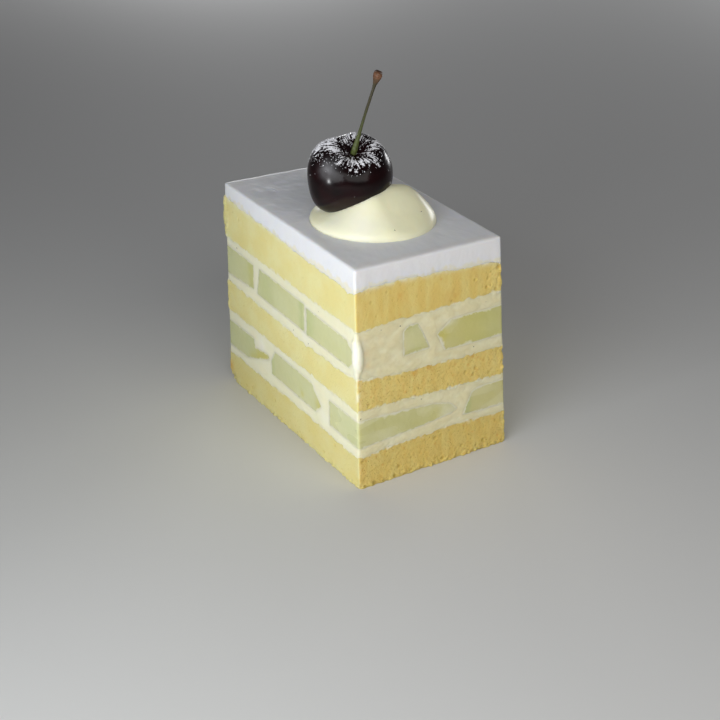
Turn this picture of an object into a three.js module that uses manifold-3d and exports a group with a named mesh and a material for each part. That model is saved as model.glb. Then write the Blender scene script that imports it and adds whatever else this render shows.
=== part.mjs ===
import * as THREE from "three";
import { mergeVertices } from "three/addons/utils/BufferGeometryUtils.js";
import Module from "manifold-3d";

// A cut slice of layered melon cake, in millimetres: three sponges, two cream fillings that
// hold pieces of melon, a cream top, and on it a dollop of vanilla cream with a whole cherry.
// +Z is up and the slice stands on z = 0, with the middle of its foot at the origin.
// The long cut face looks along -Y (the front) and the short cut face along +X (the side).

// ---------------------------------------------------------------- driving dimensions

// Corners of the slice in plan, at its foot and at its top: the cut faces lean in a little.
const FOOT = {
  frontLeft: [-38.9, -25.2],
  frontRight: [37.9, -23.9],
  backRight: [38.9, 25.2],
  backLeft: [-38.7, 24.9],
};
const CROWN = {
  frontLeft: [-37.6, -23.6],
  frontRight: [37.7, -23.8],
  backRight: [37.0, 22.9],
  backLeft: [-37.5, 23.0],
};
const CROWN_Z = 66;

// Heights of the layer boundaries. "front" gives them at the left end, the middle and the right
// end of the long face, "side" at the middle and the back end of the short face.
const LEVELS = {
  foot: { front: [0, 0, 0], side: [0, 0] },
  bottomSponge: { front: [10.7, 10.9, 10.3], side: [11.6, 11.0] },
  lowerFilling: { front: [24.0, 24.3, 24.3], side: [23.4, 22.4] },
  middleSponge: { front: [35.0, 34.2, 34.9], side: [33.1, 32.4] },
  upperFilling: { front: [48.5, 48.6, 48.8], side: [48.8, 48.4] },
  topSponge: { front: [62.2, 61.2, 61.6], side: [60.6, 58.2] },
  crown: { front: [66.3, 66.9, 67.4], side: [66.3, 65.2] },
};

const GAP = 0.3; // clearance between neighbouring pieces
const GRID = { across: 12, deep: 8 }; // cells of a layer's upper and lower surface
const OUTLINE_ROUNDING = 0.9; // how far a melon piece's cut corners are rounded
const LONGEST_ROUNDING = 1 / 3; // the most of an outline's side that one rounding takes
const OUTSIDE = 45; // a coordinate safely past every face of the slice
const MERGE_DISTANCE = 1e-4; // vertices closer than this are one vertex

// How finely the round shapes are divided, around their axis and along it.
const SEGMENTS = {
  dollop: { around: 40, along: 20 },
  cherry: { around: 32, along: 22 },
  stem: { around: 10, along: 16 },
  corner: 3,
};

// Pieces of melon. "front" is the outline in x and z of a piece seen on the long face, "side" the
// outline in y and z of one seen on the short face. "depth" is the y range of a front outline and
// "reach" the x range of a side outline.
const UPPER_MELON = {
  melon_upper_end: {
    front: [[-42, 36.8], [-20.8, 38.0], [-20.4, 46.2], [-42, 46.4]],
    depth: [-OUTSIDE, 9],
  },
  melon_upper_end_back: {
    front: [[-42, 37.0], [-21.5, 37.4], [-20.6, 45.6], [-42, 46.0]],
    depth: [12.5, OUTSIDE],
  },
  melon_upper_middle: {
    front: [[-19.0, 37.4], [9.3, 37.2], [9.3, 46.0], [-17.0, 46.3]],
    depth: [-OUTSIDE, OUTSIDE],
  },
  melon_upper_corner: {
    front: [[10.6, 37.0], [33.6, 36.9], [36.0, 39.4], [35.8, 42.6], [32.8, 45.0], [10.6, 45.3]],
    depth: [-OUTSIDE, -11],
  },
  melon_upper_wedge: {
    side: [[-9.0, 37.9], [-0.7, 38.3], [-4.3, 46.6], [-7.2, 46.7], [-9.0, 45.4]],
    reach: [16, OUTSIDE],
  },
  melon_upper_side: {
    side: [[4.6, 36.0], [32, 35.1], [32, 44.2], [6.6, 44.8], [1.9, 41.6]],
    reach: [14, OUTSIDE],
  },
};
const LOWER_MELON = {
  melon_lower_end: {
    front: [
      [-42, 12.3], [-27, 12.6], [-21, 14.8], [-14, 17.6], [-12.6, 18.6], [-13.2, 19.6],
      [-21.5, 18.4], [-21.8, 21.3], [-42, 21.0],
    ],
    depth: [-OUTSIDE, -2],
  },
  melon_lower_end_back: {
    front: [[-42, 12.6], [-15.5, 13.2], [-14.0, 21.2], [-42, 21.4]],
    depth: [1.8, OUTSIDE],
  },
  melon_lower_middle: {
    front: [[-11.4, 14.0], [14.6, 13.8], [17.8, 17.0], [12.6, 22.3], [-8.8, 22.6], [-11.4, 18.6]],
    depth: [-OUTSIDE, OUTSIDE],
  },
  melon_lower_corner: {
    front: [[22.3, 12.6], [OUTSIDE, 12.2], [OUTSIDE, 21.8], [22.3, 21.4]],
    depth: [-OUTSIDE, 8.8],
    side: [[-OUTSIDE, 12.6], [-22, 13.3], [-6, 14.2], [6.5, 15.3], [8.4, 16.2], [6.4, 18.4],
      [0, 20.2], [-22, 21.9], [-OUTSIDE, 22.4]],
    reach: [22.3, OUTSIDE],
  },
  melon_lower_side: {
    side: [[10.4, 13.5], [32, 12.7], [32, 20.9], [15.4, 20.8], [13.4, 19.8]],
    reach: [22.8, OUTSIDE],
  },
};

// The dollop is low where the cherry sits and rises to a soft crest beside it. The crest runs
// between two plan points of the slice and dies away over about twice its "spread".
const DOLLOP = {
  centre: [9.0, -0.7],
  radius: 17.7,
  squareness: 2.2, // exponent of its rounded, steep lip: 2 would be an ellipse
  low: 4.35,
  crest: { height: 11.6, start: [14.35, 7.1], end: [14.5, -4.0], spread: 8.2 },
};

const CHERRY = {
  centre: [4.96, -5.37, 79.2],
  radius: 11.97,
  squash: 0.93, // height over width
  taper: 0.03, // how much narrower it is below than above
  cavity: { depth: 3.8, spread: 0.42 }, // the dimple round the stem; spread in radians
  groove: { depth: 0.05, spread: 0.3, turn: -20 }, // the seam; depth is a share of the radius
  lean: { angle: 23, heading: -9 }, // degrees from upright, and the plan direction leant to
};

// The stem stands in the dimple; "middle" and "top" are measured from its foot.
const STEM = {
  middle: [4.3, 2.0, 13.6],
  top: [7.9, 3.6, 24.2],
  radius: 0.5,
  root: { radius: 0.95, share: 1 / 6 }, // "share" is how much of the stem it widens
  knob: { radius: 1.25, length: 2.8, peak: 0.93 }, // below its end by this much
};

const { clamp, degToRad, lerp } = THREE.MathUtils;
const ALONG_X = new THREE.Vector3(1, 0, 0);
const ALONG_Y = new THREE.Vector3(0, 1, 0);
const ALONG_Z = new THREE.Vector3(0, 0, 1);

// ---------------------------------------------------------------- solids

const wasm = await Module();
wasm.setup();

/** A closed geometry as a solid that can be joined and cut. */
function solidOf(geometry) {
  const bare = geometry.clone();
  bare.deleteAttribute("normal");
  bare.deleteAttribute("uv");
  const merged = mergeVertices(bare, MERGE_DISTANCE);
  return new wasm.Manifold(
    new wasm.Mesh({
      numProp: 3,
      vertProperties: new Float32Array(merged.attributes.position.array),
      triVerts: new Uint32Array(merged.index.array),
    }),
  );
}

/** A solid back as a geometry. */
function geometryOf(solid) {
  const mesh = solid.getMesh();
  const geometry = new THREE.BufferGeometry();
  geometry.setAttribute("position", new THREE.BufferAttribute(mesh.vertProperties, 3));
  geometry.setIndex(new THREE.BufferAttribute(mesh.triVerts, 1));
  geometry.computeVertexNormals();
  return geometry;
}

/** Moves every vertex of a geometry to where place(point) puts it. */
function warp(geometry, place) {
  const position = geometry.attributes.position;
  const point = new THREE.Vector3();
  for (let i = 0; i < position.count; i += 1) {
    point.fromBufferAttribute(position, i);
    place(point);
    position.setXYZ(i, point.x, point.y, point.z);
  }
  geometry.computeVertexNormals();
  return geometry;
}

// ---------------------------------------------------------------- the slice's block form

/** The parabola through a, b and c at t = -1, 0 and 1. */
const through = (t, a, b, c) => b + ((c - a) * t) / 2 + ((a - 2 * b + c) * t * t) / 2;

/** Height of a layer boundary at plan position u, v, each from -1 to 1. */
function levelAt({ front, side }, u, v) {
  const corner = front[2];
  return through(u, ...front) + through(v, corner, ...side) - corner;
}

/** Plan position of u, v at height z, between the four leaning corner edges. */
function planAt(u, v, z) {
  const edge = (corner, axis) => lerp(FOOT[corner][axis], CROWN[corner][axis], z / CROWN_Z);
  const across = (left, right, axis) => lerp(edge(left, axis), edge(right, axis), (u + 1) / 2);
  return [0, 1].map((axis) =>
    lerp(
      across("frontLeft", "frontRight", axis),
      across("backLeft", "backRight", axis),
      (v + 1) / 2,
    ),
  );
}

/** A layer of the slice between two boundaries, its top lowered by the clearance. */
function layer(lower, upper, clearance = GAP) {
  const box = new THREE.BoxGeometry(2, 2, 1, GRID.across, GRID.deep, 1);
  return warp(box, (point) => {
    const { x: u, y: v } = point;
    const height = point.z < 0 ? levelAt(lower, u, v) : levelAt(upper, u, v) - clearance;
    const [x, y] = planAt(u, v, height);
    point.set(x, y, height);
  });
}

// ---------------------------------------------------------------- melon pieces

/** An outline moved outwards by a distance, corner by corner; it runs anticlockwise. */
function grown(outline, distance) {
  const corner = (i) => new THREE.Vector2(...outline[(i + outline.length) % outline.length]);
  const outward = (from, to) => new THREE.Vector2(to.y - from.y, from.x - to.x).normalize();
  return outline.map((_, i) => {
    const before = outward(corner(i - 1), corner(i));
    const after = outward(corner(i), corner(i + 1));
    const step = before.clone().add(after).multiplyScalar(distance / (1 + before.dot(after)));
    return corner(i).add(step).toArray();
  });
}

/** A closed outline as a shape with rounded corners. */
function roundedShape(outline) {
  const shape = new THREE.Shape();
  outline.forEach((point, i) => {
    const here = new THREE.Vector2(...point);
    const last = new THREE.Vector2(...outline[(i + outline.length - 1) % outline.length]);
    const next = new THREE.Vector2(...outline[(i + 1) % outline.length]);
    const towards = (other) => {
      const reach = Math.min(OUTLINE_ROUNDING, here.distanceTo(other) * LONGEST_ROUNDING);
      return other.clone().sub(here).setLength(reach).add(here);
    };
    const enter = towards(last);
    const leave = towards(next);
    if (i === 0) shape.moveTo(enter.x, enter.y);
    else shape.lineTo(enter.x, enter.y);
    shape.quadraticCurveTo(here.x, here.y, leave.x, leave.y);
  });
  shape.closePath();
  return shape;
}

/** A rounded outline pushed through a range of y (for a front outline) or of x (for a side one). */
function prism(outline, [from, to], isFront) {
  const options = { depth: to - from, bevelEnabled: false, curveSegments: SEGMENTS.corner };
  const geometry = new THREE.ExtrudeGeometry(roundedShape(outline), options);
  if (isFront) return geometry.rotateX(Math.PI / 2).translate(0, to, 0);
  const sideways = new THREE.Matrix4().makeBasis(ALONG_Y, ALONG_Z, ALONG_X);
  return geometry.applyMatrix4(sideways).translate(from, 0, 0);
}

/** The solid of one melon piece, not yet trimmed to the slice, grown on every side. */
function melonSolid({ front, depth, side, reach }, distance) {
  const widened = ([from, to]) => [from - distance, to + distance];
  const solids = [];
  if (front) solids.push(solidOf(prism(grown(front, distance), widened(depth), true)));
  if (side) solids.push(solidOf(prism(grown(side, distance), widened(reach), false)));
  return solids.reduce((all, one) => all.intersect(one));
}

/** A filling: the melon pieces trimmed to the slice, and the cream that surrounds them. */
function filling(lower, upper, pieces) {
  const block = solidOf(layer(lower, upper));
  let cream = block;
  const melons = {};
  for (const [name, piece] of Object.entries(pieces)) {
    melons[name] = geometryOf(block.intersect(melonSolid(piece, 0)));
    cream = cream.subtract(melonSolid(piece, GAP));
  }
  return { cream: geometryOf(cream), melons };
}

// ---------------------------------------------------------------- toppings

/** The height of the cream top's upper surface over a plan point of the slice. */
function crownAt(x, y) {
  const u = x / CROWN.frontRight[0];
  const v = y / -CROWN.frontRight[1];
  return levelAt(LEVELS.crown, u, v);
}

/** Bell curve: 1 in the middle, near 0 past twice the spread. */
const bell = (distance, spread) => Math.exp(-((distance / spread) ** 2));

/** Height of the dollop, before its lip rounds off, over a plan point of the slice. */
function dollopHeight(x, y) {
  const { low, crest } = DOLLOP;
  const here = new THREE.Vector3(x, y, 0);
  const ridge = new THREE.Line3(
    new THREE.Vector3(...crest.start, 0),
    new THREE.Vector3(...crest.end, 0),
  );
  const away = ridge.closestPointToPoint(here, true, new THREE.Vector3()).distanceTo(here);
  return low + (crest.height - low) * bell(away, crest.spread);
}

/** The dollop as a low mound with a steep lip and a soft crest, its foot on the cream top. */
function dollop() {
  const { centre, radius, squareness } = DOLLOP;
  const { around, along } = SEGMENTS.dollop;
  const sphere = new THREE.SphereGeometry(1, around, along).rotateX(Math.PI / 2);
  return warp(sphere, (point) => {
    const angle = Math.acos(clamp(point.z, -1, 1));
    const turn = Math.atan2(point.y, point.x);
    const out = angle < Math.PI / 2 ? Math.sin(angle) ** (2 / squareness) : Math.sin(angle);
    const up = angle < Math.PI / 2 ? Math.max(Math.cos(angle), 0) ** (2 / squareness) : 0;
    const x = centre[0] + radius * out * Math.cos(turn);
    const y = centre[1] + radius * out * Math.sin(turn);
    point.set(x, y, crownAt(x, y) + GAP + up * dollopHeight(x, y));
  });
}

/** The cherry: a squashed ball that narrows downwards, with a dimple and a seam, leaning. */
function cherry(distance) {
  const { centre, radius, squash, taper, cavity, groove, lean } = CHERRY;
  const { around, along } = SEGMENTS.cherry;
  const sphere = new THREE.SphereGeometry(1, around, along).rotateX(Math.PI / 2);
  warp(sphere, (point) => {
    const angle = Math.acos(clamp(point.z, -1, 1));
    const turn = Math.atan2(point.y, point.x);
    const seam = groove.depth * bell(turn - degToRad(groove.turn), groove.spread) * Math.sin(angle);
    const width = (radius + distance) * (1 - (taper * (1 - Math.cos(angle))) / 2) * (1 - seam);
    const dimple = cavity.depth * bell(angle, cavity.spread);
    const height = (radius + distance) * squash * Math.cos(angle) - dimple;
    point.set(width * Math.sin(angle) * Math.cos(turn), width * Math.sin(angle) * Math.sin(turn), height);
  });
  return sphere
    .rotateY(degToRad(lean.angle))
    .rotateZ(degToRad(lean.heading))
    .translate(...centre);
}

/** Where the stem's foot stands, just clear of the bottom of the cherry's dimple. */
function stemFoot() {
  const { centre, radius, squash, cavity, lean } = CHERRY;
  const axis = new THREE.Vector3(Math.sin(degToRad(lean.angle)), 0, Math.cos(degToRad(lean.angle)));
  axis.applyAxisAngle(ALONG_Z, degToRad(lean.heading));
  const height = radius * squash - cavity.depth + 2 * GAP;
  return new THREE.Vector3(...centre).addScaledVector(axis, height);
}

/** The stem: a thin stalk with a wider root and a knob, turned and then bent along its curve. */
function stem() {
  const { radius, root, knob, middle, top } = STEM;
  const { around, along: steps } = SEGMENTS.stem;
  const foot = stemFoot();
  const above = (offset) => foot.clone().add(new THREE.Vector3(...offset));
  const curve = new THREE.CatmullRomCurve3([foot, above(middle), above(top)]);
  const length = curve.getLength();
  const profile = [new THREE.Vector2(0, 0)];
  for (let i = 0; i <= steps; i += 1) {
    const along = (length * i) / steps;
    const widening = (root.radius - radius) * bell(along, length * root.share);
    const swell = (knob.radius - radius) * bell(length - knob.peak - along, knob.length);
    profile.push(new THREE.Vector2(radius + widening + swell, along));
  }
  profile.push(new THREE.Vector2(0, length));
  const frames = curve.computeFrenetFrames(steps);
  const lathe = new THREE.LatheGeometry(profile, around).rotateX(Math.PI / 2);
  return warp(lathe, (point) => {
    const share = clamp(point.z / length, 0, 1);
    const step = Math.round(share * steps);
    const { x, y } = point;
    point
      .copy(curve.getPointAt(share))
      .addScaledVector(frames.normals[step], x)
      .addScaledVector(frames.binormals[step], y);
  });
}

// ---------------------------------------------------------------- the slice

const slice = new THREE.Group();

/** Adds one named piece with its own finish. */
function addPiece(name, geometry, { color, roughness }) {
  const material = new THREE.MeshStandardMaterial({ color, roughness, metalness: 0 });
  const mesh = new THREE.Mesh(geometry, material);
  mesh.name = name;
  slice.add(mesh);
}

const FINISH = {
  sponge: { color: 0xe6cf83, roughness: 0.9 },
  filling: { color: 0xf0e6c4, roughness: 0.55 },
  top: { color: 0xe6e8ee, roughness: 0.6 },
  melon: { color: 0xc3cc94, roughness: 0.3 },
  dollop: { color: 0xf3efce, roughness: 0.5 },
  cherry: { color: 0x2c1214, roughness: 0.2 },
  stem: { color: 0x6d7a3a, roughness: 0.6 },
};

addPiece("sponge_bottom", layer(LEVELS.foot, LEVELS.bottomSponge), FINISH.sponge);
addPiece("sponge_middle", layer(LEVELS.lowerFilling, LEVELS.middleSponge), FINISH.sponge);
addPiece("sponge_top", layer(LEVELS.upperFilling, LEVELS.topSponge), FINISH.sponge);
addPiece("cream_top", layer(LEVELS.topSponge, LEVELS.crown, 0), FINISH.top);

const lower = filling(LEVELS.bottomSponge, LEVELS.lowerFilling, LOWER_MELON);
const upper = filling(LEVELS.middleSponge, LEVELS.upperFilling, UPPER_MELON);
addPiece("cream_lower", lower.cream, FINISH.filling);
addPiece("cream_upper", upper.cream, FINISH.filling);
for (const [name, geometry] of Object.entries({ ...lower.melons, ...upper.melons })) {
  addPiece(name, geometry, FINISH.melon);
}

const dollopSolid = solidOf(dollop()).subtract(solidOf(cherry(GAP)));
addPiece("dollop", geometryOf(dollopSolid), FINISH.dollop);
addPiece("cherry", cherry(0), FINISH.cherry);
addPiece("cherry_stem", stem(), FINISH.stem);

export default slice;
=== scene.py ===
"""Melon cake slice: the looks of every layer, melon piece, cream, cherry and crumb, around the fixed frame.

Sizes are millimetres in the slice's own frame, +Z up, -Y out of the long cut face and +X out of the
short one, and become metres where a mesh is written.
"""

import logging
import math
from collections.abc import Callable, Sequence
from dataclasses import dataclass
from enum import Enum

import bpy
import numpy as np
from mathutils import Matrix, Vector, noise


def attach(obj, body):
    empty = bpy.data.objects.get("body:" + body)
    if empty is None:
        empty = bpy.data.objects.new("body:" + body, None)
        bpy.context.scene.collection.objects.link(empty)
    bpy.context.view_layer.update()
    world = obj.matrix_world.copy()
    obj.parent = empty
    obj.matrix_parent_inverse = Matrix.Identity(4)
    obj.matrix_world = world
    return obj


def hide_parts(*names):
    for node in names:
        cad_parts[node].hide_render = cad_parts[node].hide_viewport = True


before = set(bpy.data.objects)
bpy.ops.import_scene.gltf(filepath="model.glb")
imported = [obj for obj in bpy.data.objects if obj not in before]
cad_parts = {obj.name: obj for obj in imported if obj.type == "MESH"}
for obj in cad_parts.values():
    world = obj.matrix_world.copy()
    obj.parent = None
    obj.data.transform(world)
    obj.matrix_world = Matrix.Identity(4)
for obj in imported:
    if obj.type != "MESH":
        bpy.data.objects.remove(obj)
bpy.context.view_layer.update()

LOG = logging.getLogger("melon_cake_slice")
MM = 0.001
TURN = 2 * math.pi

Pair = tuple[float, float]
Triple = tuple[float, float, float]
Outline = tuple[Pair, ...]
Array = np.ndarray
Piece = bpy.types.Object
Material = bpy.types.Material
Node = bpy.types.Node
Socket = bpy.types.NodeSocket
Effects = dict[str, bpy.types.NodeTree]


# ---- numbers and noise


def smooth(share: Array) -> Array:
    """Ease from 0 to 1 as a share goes from 0 to 1."""
    held = np.clip(share, 0.0, 1.0)
    return held * held * (3 - 2 * held)


def bell(distance: Array, spread: float) -> Array:
    """Bell curve: 1 in the middle and near 0 past twice the spread."""
    return np.exp(-((distance / spread) ** 2))


def through(share: Array, first: float, middle: float, last: float) -> Array:
    """The parabola through three heights at -1, 0 and 1."""
    return middle + (last - first) * share / 2 + (first - 2 * middle + last) * share**2 / 2


def cloud(points: Array, size: float, seed: float = 0.0, octaves: int = 2) -> Array:
    """Smooth random values of about -1 to 1.

    Args:
        points: Places, one to a row.
        size: Width of the largest lumps, in millimetres.
        seed: Shifts the pattern, so that two of them differ.
        octaves: How many finer patterns are laid over each other.

    Returns:
        One value for each place.
    """
    shifted = points / size + np.array((seed * 17.3, seed * -5.1, seed * 9.7))
    return np.array([noise.fractal(Vector(p), 0.9, 2.0, octaves) for p in shifted])


def pits(points: Array, size: float, share: Array, seed: float) -> Array:
    """How deep each place lies in a round pore, from 0 outside to 1 in the middle.

    Args:
        points: Places, one to a row.
        size: Mean distance between pores.
        share: The share of the pores that are open, at each place.
        seed: Shifts the pattern.

    Returns:
        One value from 0 to 1 for each place.
    """
    depth = np.zeros(len(points))
    cells = points / size + seed * 31.7
    for i in np.flatnonzero(share > 0.01):
        distances, centres = noise.voronoi(Vector(cells[i]))
        chance = 0.5 + 0.5 * noise.cell(centres[0] * 53.0)
        if chance < share[i]:
            radius = 0.16 + 0.34 * (0.5 + 0.5 * noise.cell(centres[0] * 91.0))
            depth[i] = max(0.0, 1 - (distances[0] / radius) ** 2)
    return depth


# ---- work on a mesh


def activate(piece: Piece) -> None:
    """Make a piece the only selected object and the active one.

    Args:
        piece: The piece.
    """
    bpy.ops.object.select_all(action="DESELECT")
    piece.select_set(True)
    bpy.context.view_layer.objects.active = piece


def stored(piece: Piece, what: str) -> Array:
    """What a piece's vertices hold under a name, one vertex to a row.

    Args:
        piece: The piece.
        what: The name.

    Returns:
        The values.
    """
    flat = np.empty(len(piece.data.vertices) * 3)
    piece.data.vertices.foreach_get(what, flat)
    return flat.reshape(-1, 3)


def places(piece: Piece) -> Array:
    """The vertices of a piece in millimetres, one to a row."""
    return stored(piece, "co") / MM


def directions(piece: Piece) -> Array:
    """The vertex normals of a piece, one to a row."""
    return stored(piece, "normal")


def move_to(piece: Piece, points: Array) -> None:
    """Put the vertices of a piece at places in millimetres."""
    piece.data.vertices.foreach_set("co", (points * MM).ravel())
    piece.data.update()


def paint(piece: Piece, name: str, values: Array) -> None:
    """Store one value from 0 to 1 on each vertex, for the piece's finish to read."""
    attribute = piece.data.attributes.new(name, "FLOAT", "POINT")
    attribute.data.foreach_set("value", np.clip(values, 0, 1).astype(np.float32))


def turn_outwards(piece: Piece) -> None:
    """Merge doubled vertices and make every face of a piece point outwards.

    Args:
        piece: The piece.
    """
    activate(piece)
    bpy.ops.object.mode_set(mode="EDIT")
    bpy.ops.mesh.select_all(action="SELECT")
    bpy.ops.mesh.remove_doubles(threshold=1e-7)
    bpy.ops.mesh.normals_make_consistent(inside=False)
    bpy.ops.object.mode_set(mode="OBJECT")


def apply_modifier(piece: Piece, kind: str, **settings: object) -> None:
    """Add one modifier to a piece with its settings, and apply it.

    Args:
        piece: The piece.
        kind: The modifier's type.
        **settings: Its settings.
    """
    activate(piece)
    modifier = piece.modifiers.new(kind.title(), kind)
    for name, value in settings.items():
        setattr(modifier, name, value)
    bpy.ops.object.modifier_apply(modifier=modifier.name)


def cut(piece: Piece, tool: Piece, operation: str) -> None:
    """Apply a boolean with another closed piece, and remove that piece."""
    apply_modifier(piece, "BOOLEAN", operation=operation, solver="EXACT", object=tool)
    bpy.data.objects.remove(tool)


def joined(pieces: Sequence[Piece], name: str) -> Piece:
    """Join pieces into the first of them.

    Args:
        pieces: The pieces.
        name: The name of the result.

    Returns:
        The first piece, with the others in it.
    """
    activate(pieces[0])
    for piece in pieces:
        piece.select_set(True)
    if len(pieces) > 1:
        bpy.ops.object.join()
    pieces[0].name = pieces[0].data.name = name
    return pieces[0]


def loft(name: str, columns: int, rows: int, place: Callable[[Array, Array], Array]) -> Piece:
    """A closed skin of stacked rings, extruded from a circle and then put in shape.

    Args:
        name: The piece's name.
        columns: Vertices in a ring, a multiple of four.
        rows: Number of rings, the first and last of which are closed by a face.
        place: Gives the places, in millimetres, of vertices at a column and a row.

    Returns:
        The piece.
    """
    bpy.ops.object.select_all(action="DESELECT")
    bpy.ops.mesh.primitive_circle_add(vertices=columns, radius=1.0, fill_type="NGON")
    piece = bpy.context.active_object
    piece.name = piece.data.name = name
    bpy.ops.object.mode_set(mode="EDIT")
    bpy.ops.mesh.select_all(action="SELECT")
    for _ in range(rows - 1):
        bpy.ops.mesh.extrude_region_move(TRANSFORM_OT_translate={"value": (0, 0, 1)})
    bpy.ops.object.mode_set(mode="OBJECT")
    points = places(piece) * MM
    column = np.rint(np.arctan2(points[:, 1], points[:, 0]) / TURN * columns).astype(int) % columns
    move_to(piece, place(column, np.rint(points[:, 2]).astype(int)))
    turn_outwards(piece)
    return piece


def prism(name: str, outline: Array, start: Triple, push: Triple) -> Piece:
    """An outline pushed straight through a distance, as a closed solid.

    Args:
        name: The piece's name.
        outline: Places of the outline in the two directions that push doesn't use.
        start: The millimetres to add to the outline before the push.
        push: The push, along X or along Y.

    Returns:
        The piece.
    """
    bpy.ops.object.select_all(action="DESELECT")
    bpy.ops.mesh.primitive_circle_add(vertices=len(outline), radius=1.0, fill_type="NGON")
    piece = bpy.context.active_object
    piece.name = piece.data.name = name
    points = np.zeros((len(outline), 3))
    points[:, 0 if push[0] == 0 else 1] = outline[:, 0]
    points[:, 2] = outline[:, 1]
    move_to(piece, points + np.array(start))
    bpy.ops.object.mode_set(mode="EDIT")
    bpy.ops.mesh.select_all(action="SELECT")
    bpy.ops.mesh.extrude_region_move(TRANSFORM_OT_translate={"value": tuple(p * MM for p in push)})
    bpy.ops.object.mode_set(mode="OBJECT")
    turn_outwards(piece)
    return piece


def present(piece: Piece, finish: Material, slot: str, *nodes: str) -> Piece:
    """Dress a finished piece, and tie it to the body and the nodes that it stands for.

    Args:
        piece: The piece.
        finish: Its finish.
        slot: Not used.
        *nodes: The nodes that it stands for.

    Returns:
        The piece.
    """
    activate(piece)
    bpy.ops.object.shade_smooth()
    piece.data.materials.clear()
    piece.data.materials.append(finish)
    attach(piece, "root")
    if nodes:
        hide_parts(*nodes)
    LOG.info("%s: %d vertices, finish %s", piece.name, len(piece.data.vertices), finish.name)
    return piece


# ---- the form of the slice


@dataclass(frozen=True)
class Boundary:
    """Height of a layer boundary over the slice.

    Attributes:
        front: Heights at the left end, middle and right end of the long face.
        side: Heights at the middle and the back end of the short face.
        front_line: What the long face shows, as x and height.
        side_line: What the short face shows, as y and height.
        seed: Shifts the wobble, so that no two boundaries are alike.
        wobble: How far the boundary strays up and down.
        ragged: How much of that is short and sharp.
    """

    front: Triple
    side: Pair
    front_line: Outline = ()
    side_line: Outline = ()
    seed: float = 0.0
    wobble: float = 0.22
    ragged: float = 0.6

    HALF: Pair = (38.1, 24.2)
    FADE: float = 6.0

    def level(self, x: Array, y: Array) -> Array:
        """The even height over plan places, without what each face shows.

        Args:
            x: Places along the long face.
            y: Places along the short face.

        Returns:
            The heights.
        """
        corner = self.front[2]
        u, v = x / self.HALF[0], y / self.HALF[1]
        return through(u, *self.front) + through(v, corner, *self.side) - corner

    def height(self, x: Array, y: Array) -> Array:
        """The height over plan places, with what each face shows and a small wobble.

        Args:
            x: Places along the long face.
            y: Places along the short face.

        Returns:
            The heights.
        """
        height = self.level(x, y)
        shift = np.zeros_like(height)
        weight = np.zeros_like(height)
        half_x, half_y = self.HALF
        if self.front_line:
            near = np.exp(-np.clip(y + half_y, 0, None) / self.FADE)
            shown = np.interp(x, *np.array(self.front_line).T)
            shift += near * (shown - self.level(x, np.full_like(y, -half_y)))
            weight += near
        if self.side_line:
            near = np.exp(-np.clip(half_x - x, 0, None) / self.FADE)
            shown = np.interp(y, *np.array(self.side_line).T)
            shift += near * (shown - self.level(np.full_like(x, half_x), y))
            weight += near
        height = height + shift / np.maximum(weight, 1)
        flat = np.stack([x, y, np.zeros_like(x)], axis=1)
        broad = cloud(flat, 7.0, self.seed)
        ragged = cloud(flat, 2.2, self.seed + 3, 3)
        return height + self.wobble * (0.8 * broad + self.ragged * ragged)


@dataclass(frozen=True)
class SliceForm:
    """The block that the layers fill: four leaning corner edges.

    Attributes:
        foot: Plan corners at the foot: front left, front right, back right, back left.
        crown: The same corners at the top.
        crown_z: Height of the crown corners.
    """

    foot: tuple[Pair, Pair, Pair, Pair] = ((-38.9, -25.2), (37.9, -23.9), (38.9, 25.2), (-38.7, 24.9))
    crown: tuple[Pair, Pair, Pair, Pair] = ((-37.6, -23.6), (37.7, -23.8), (37.0, 22.9), (-37.5, 23.0))
    crown_z: float = 66.0

    def corner(self, index: int, z: Array) -> Array:
        """Plan place of one corner edge at heights."""
        share = (z / self.crown_z)[:, None]
        return np.array(self.foot[index]) * (1 - share) + np.array(self.crown[index]) * share

    def plan(self, u: Array, v: Array, z: Array) -> Array:
        """Plan place of u and v, each from -1 to 1, at heights.

        Args:
            u: Shares along the long face.
            v: Shares along the short face.
            z: Heights.

        Returns:
            The places.
        """
        across = ((u + 1) / 2)[:, None]
        deep = ((v + 1) / 2)[:, None]
        front = self.corner(0, z) * (1 - across) + self.corner(1, z) * across
        back = self.corner(3, z) * (1 - across) + self.corner(2, z) * across
        return front * (1 - deep) + back * deep

    def depths(self, points: Array) -> Array:
        """How deep places lie behind the front, side, back and end faces, in four columns.

        Args:
            points: Places, one to a row.

        Returns:
            The depths in millimetres.
        """
        z = points[:, 2]
        found = []
        for index in range(4):
            start, end = self.corner(index, z), self.corner((index + 1) % 4, z)
            along = end - start
            inward = np.stack([-along[:, 1], along[:, 0]], axis=1)
            inward /= np.linalg.norm(inward, axis=1)[:, None]
            found.append(((points[:, :2] - start) * inward).sum(axis=1))
        return np.stack(found, axis=1)


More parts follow.
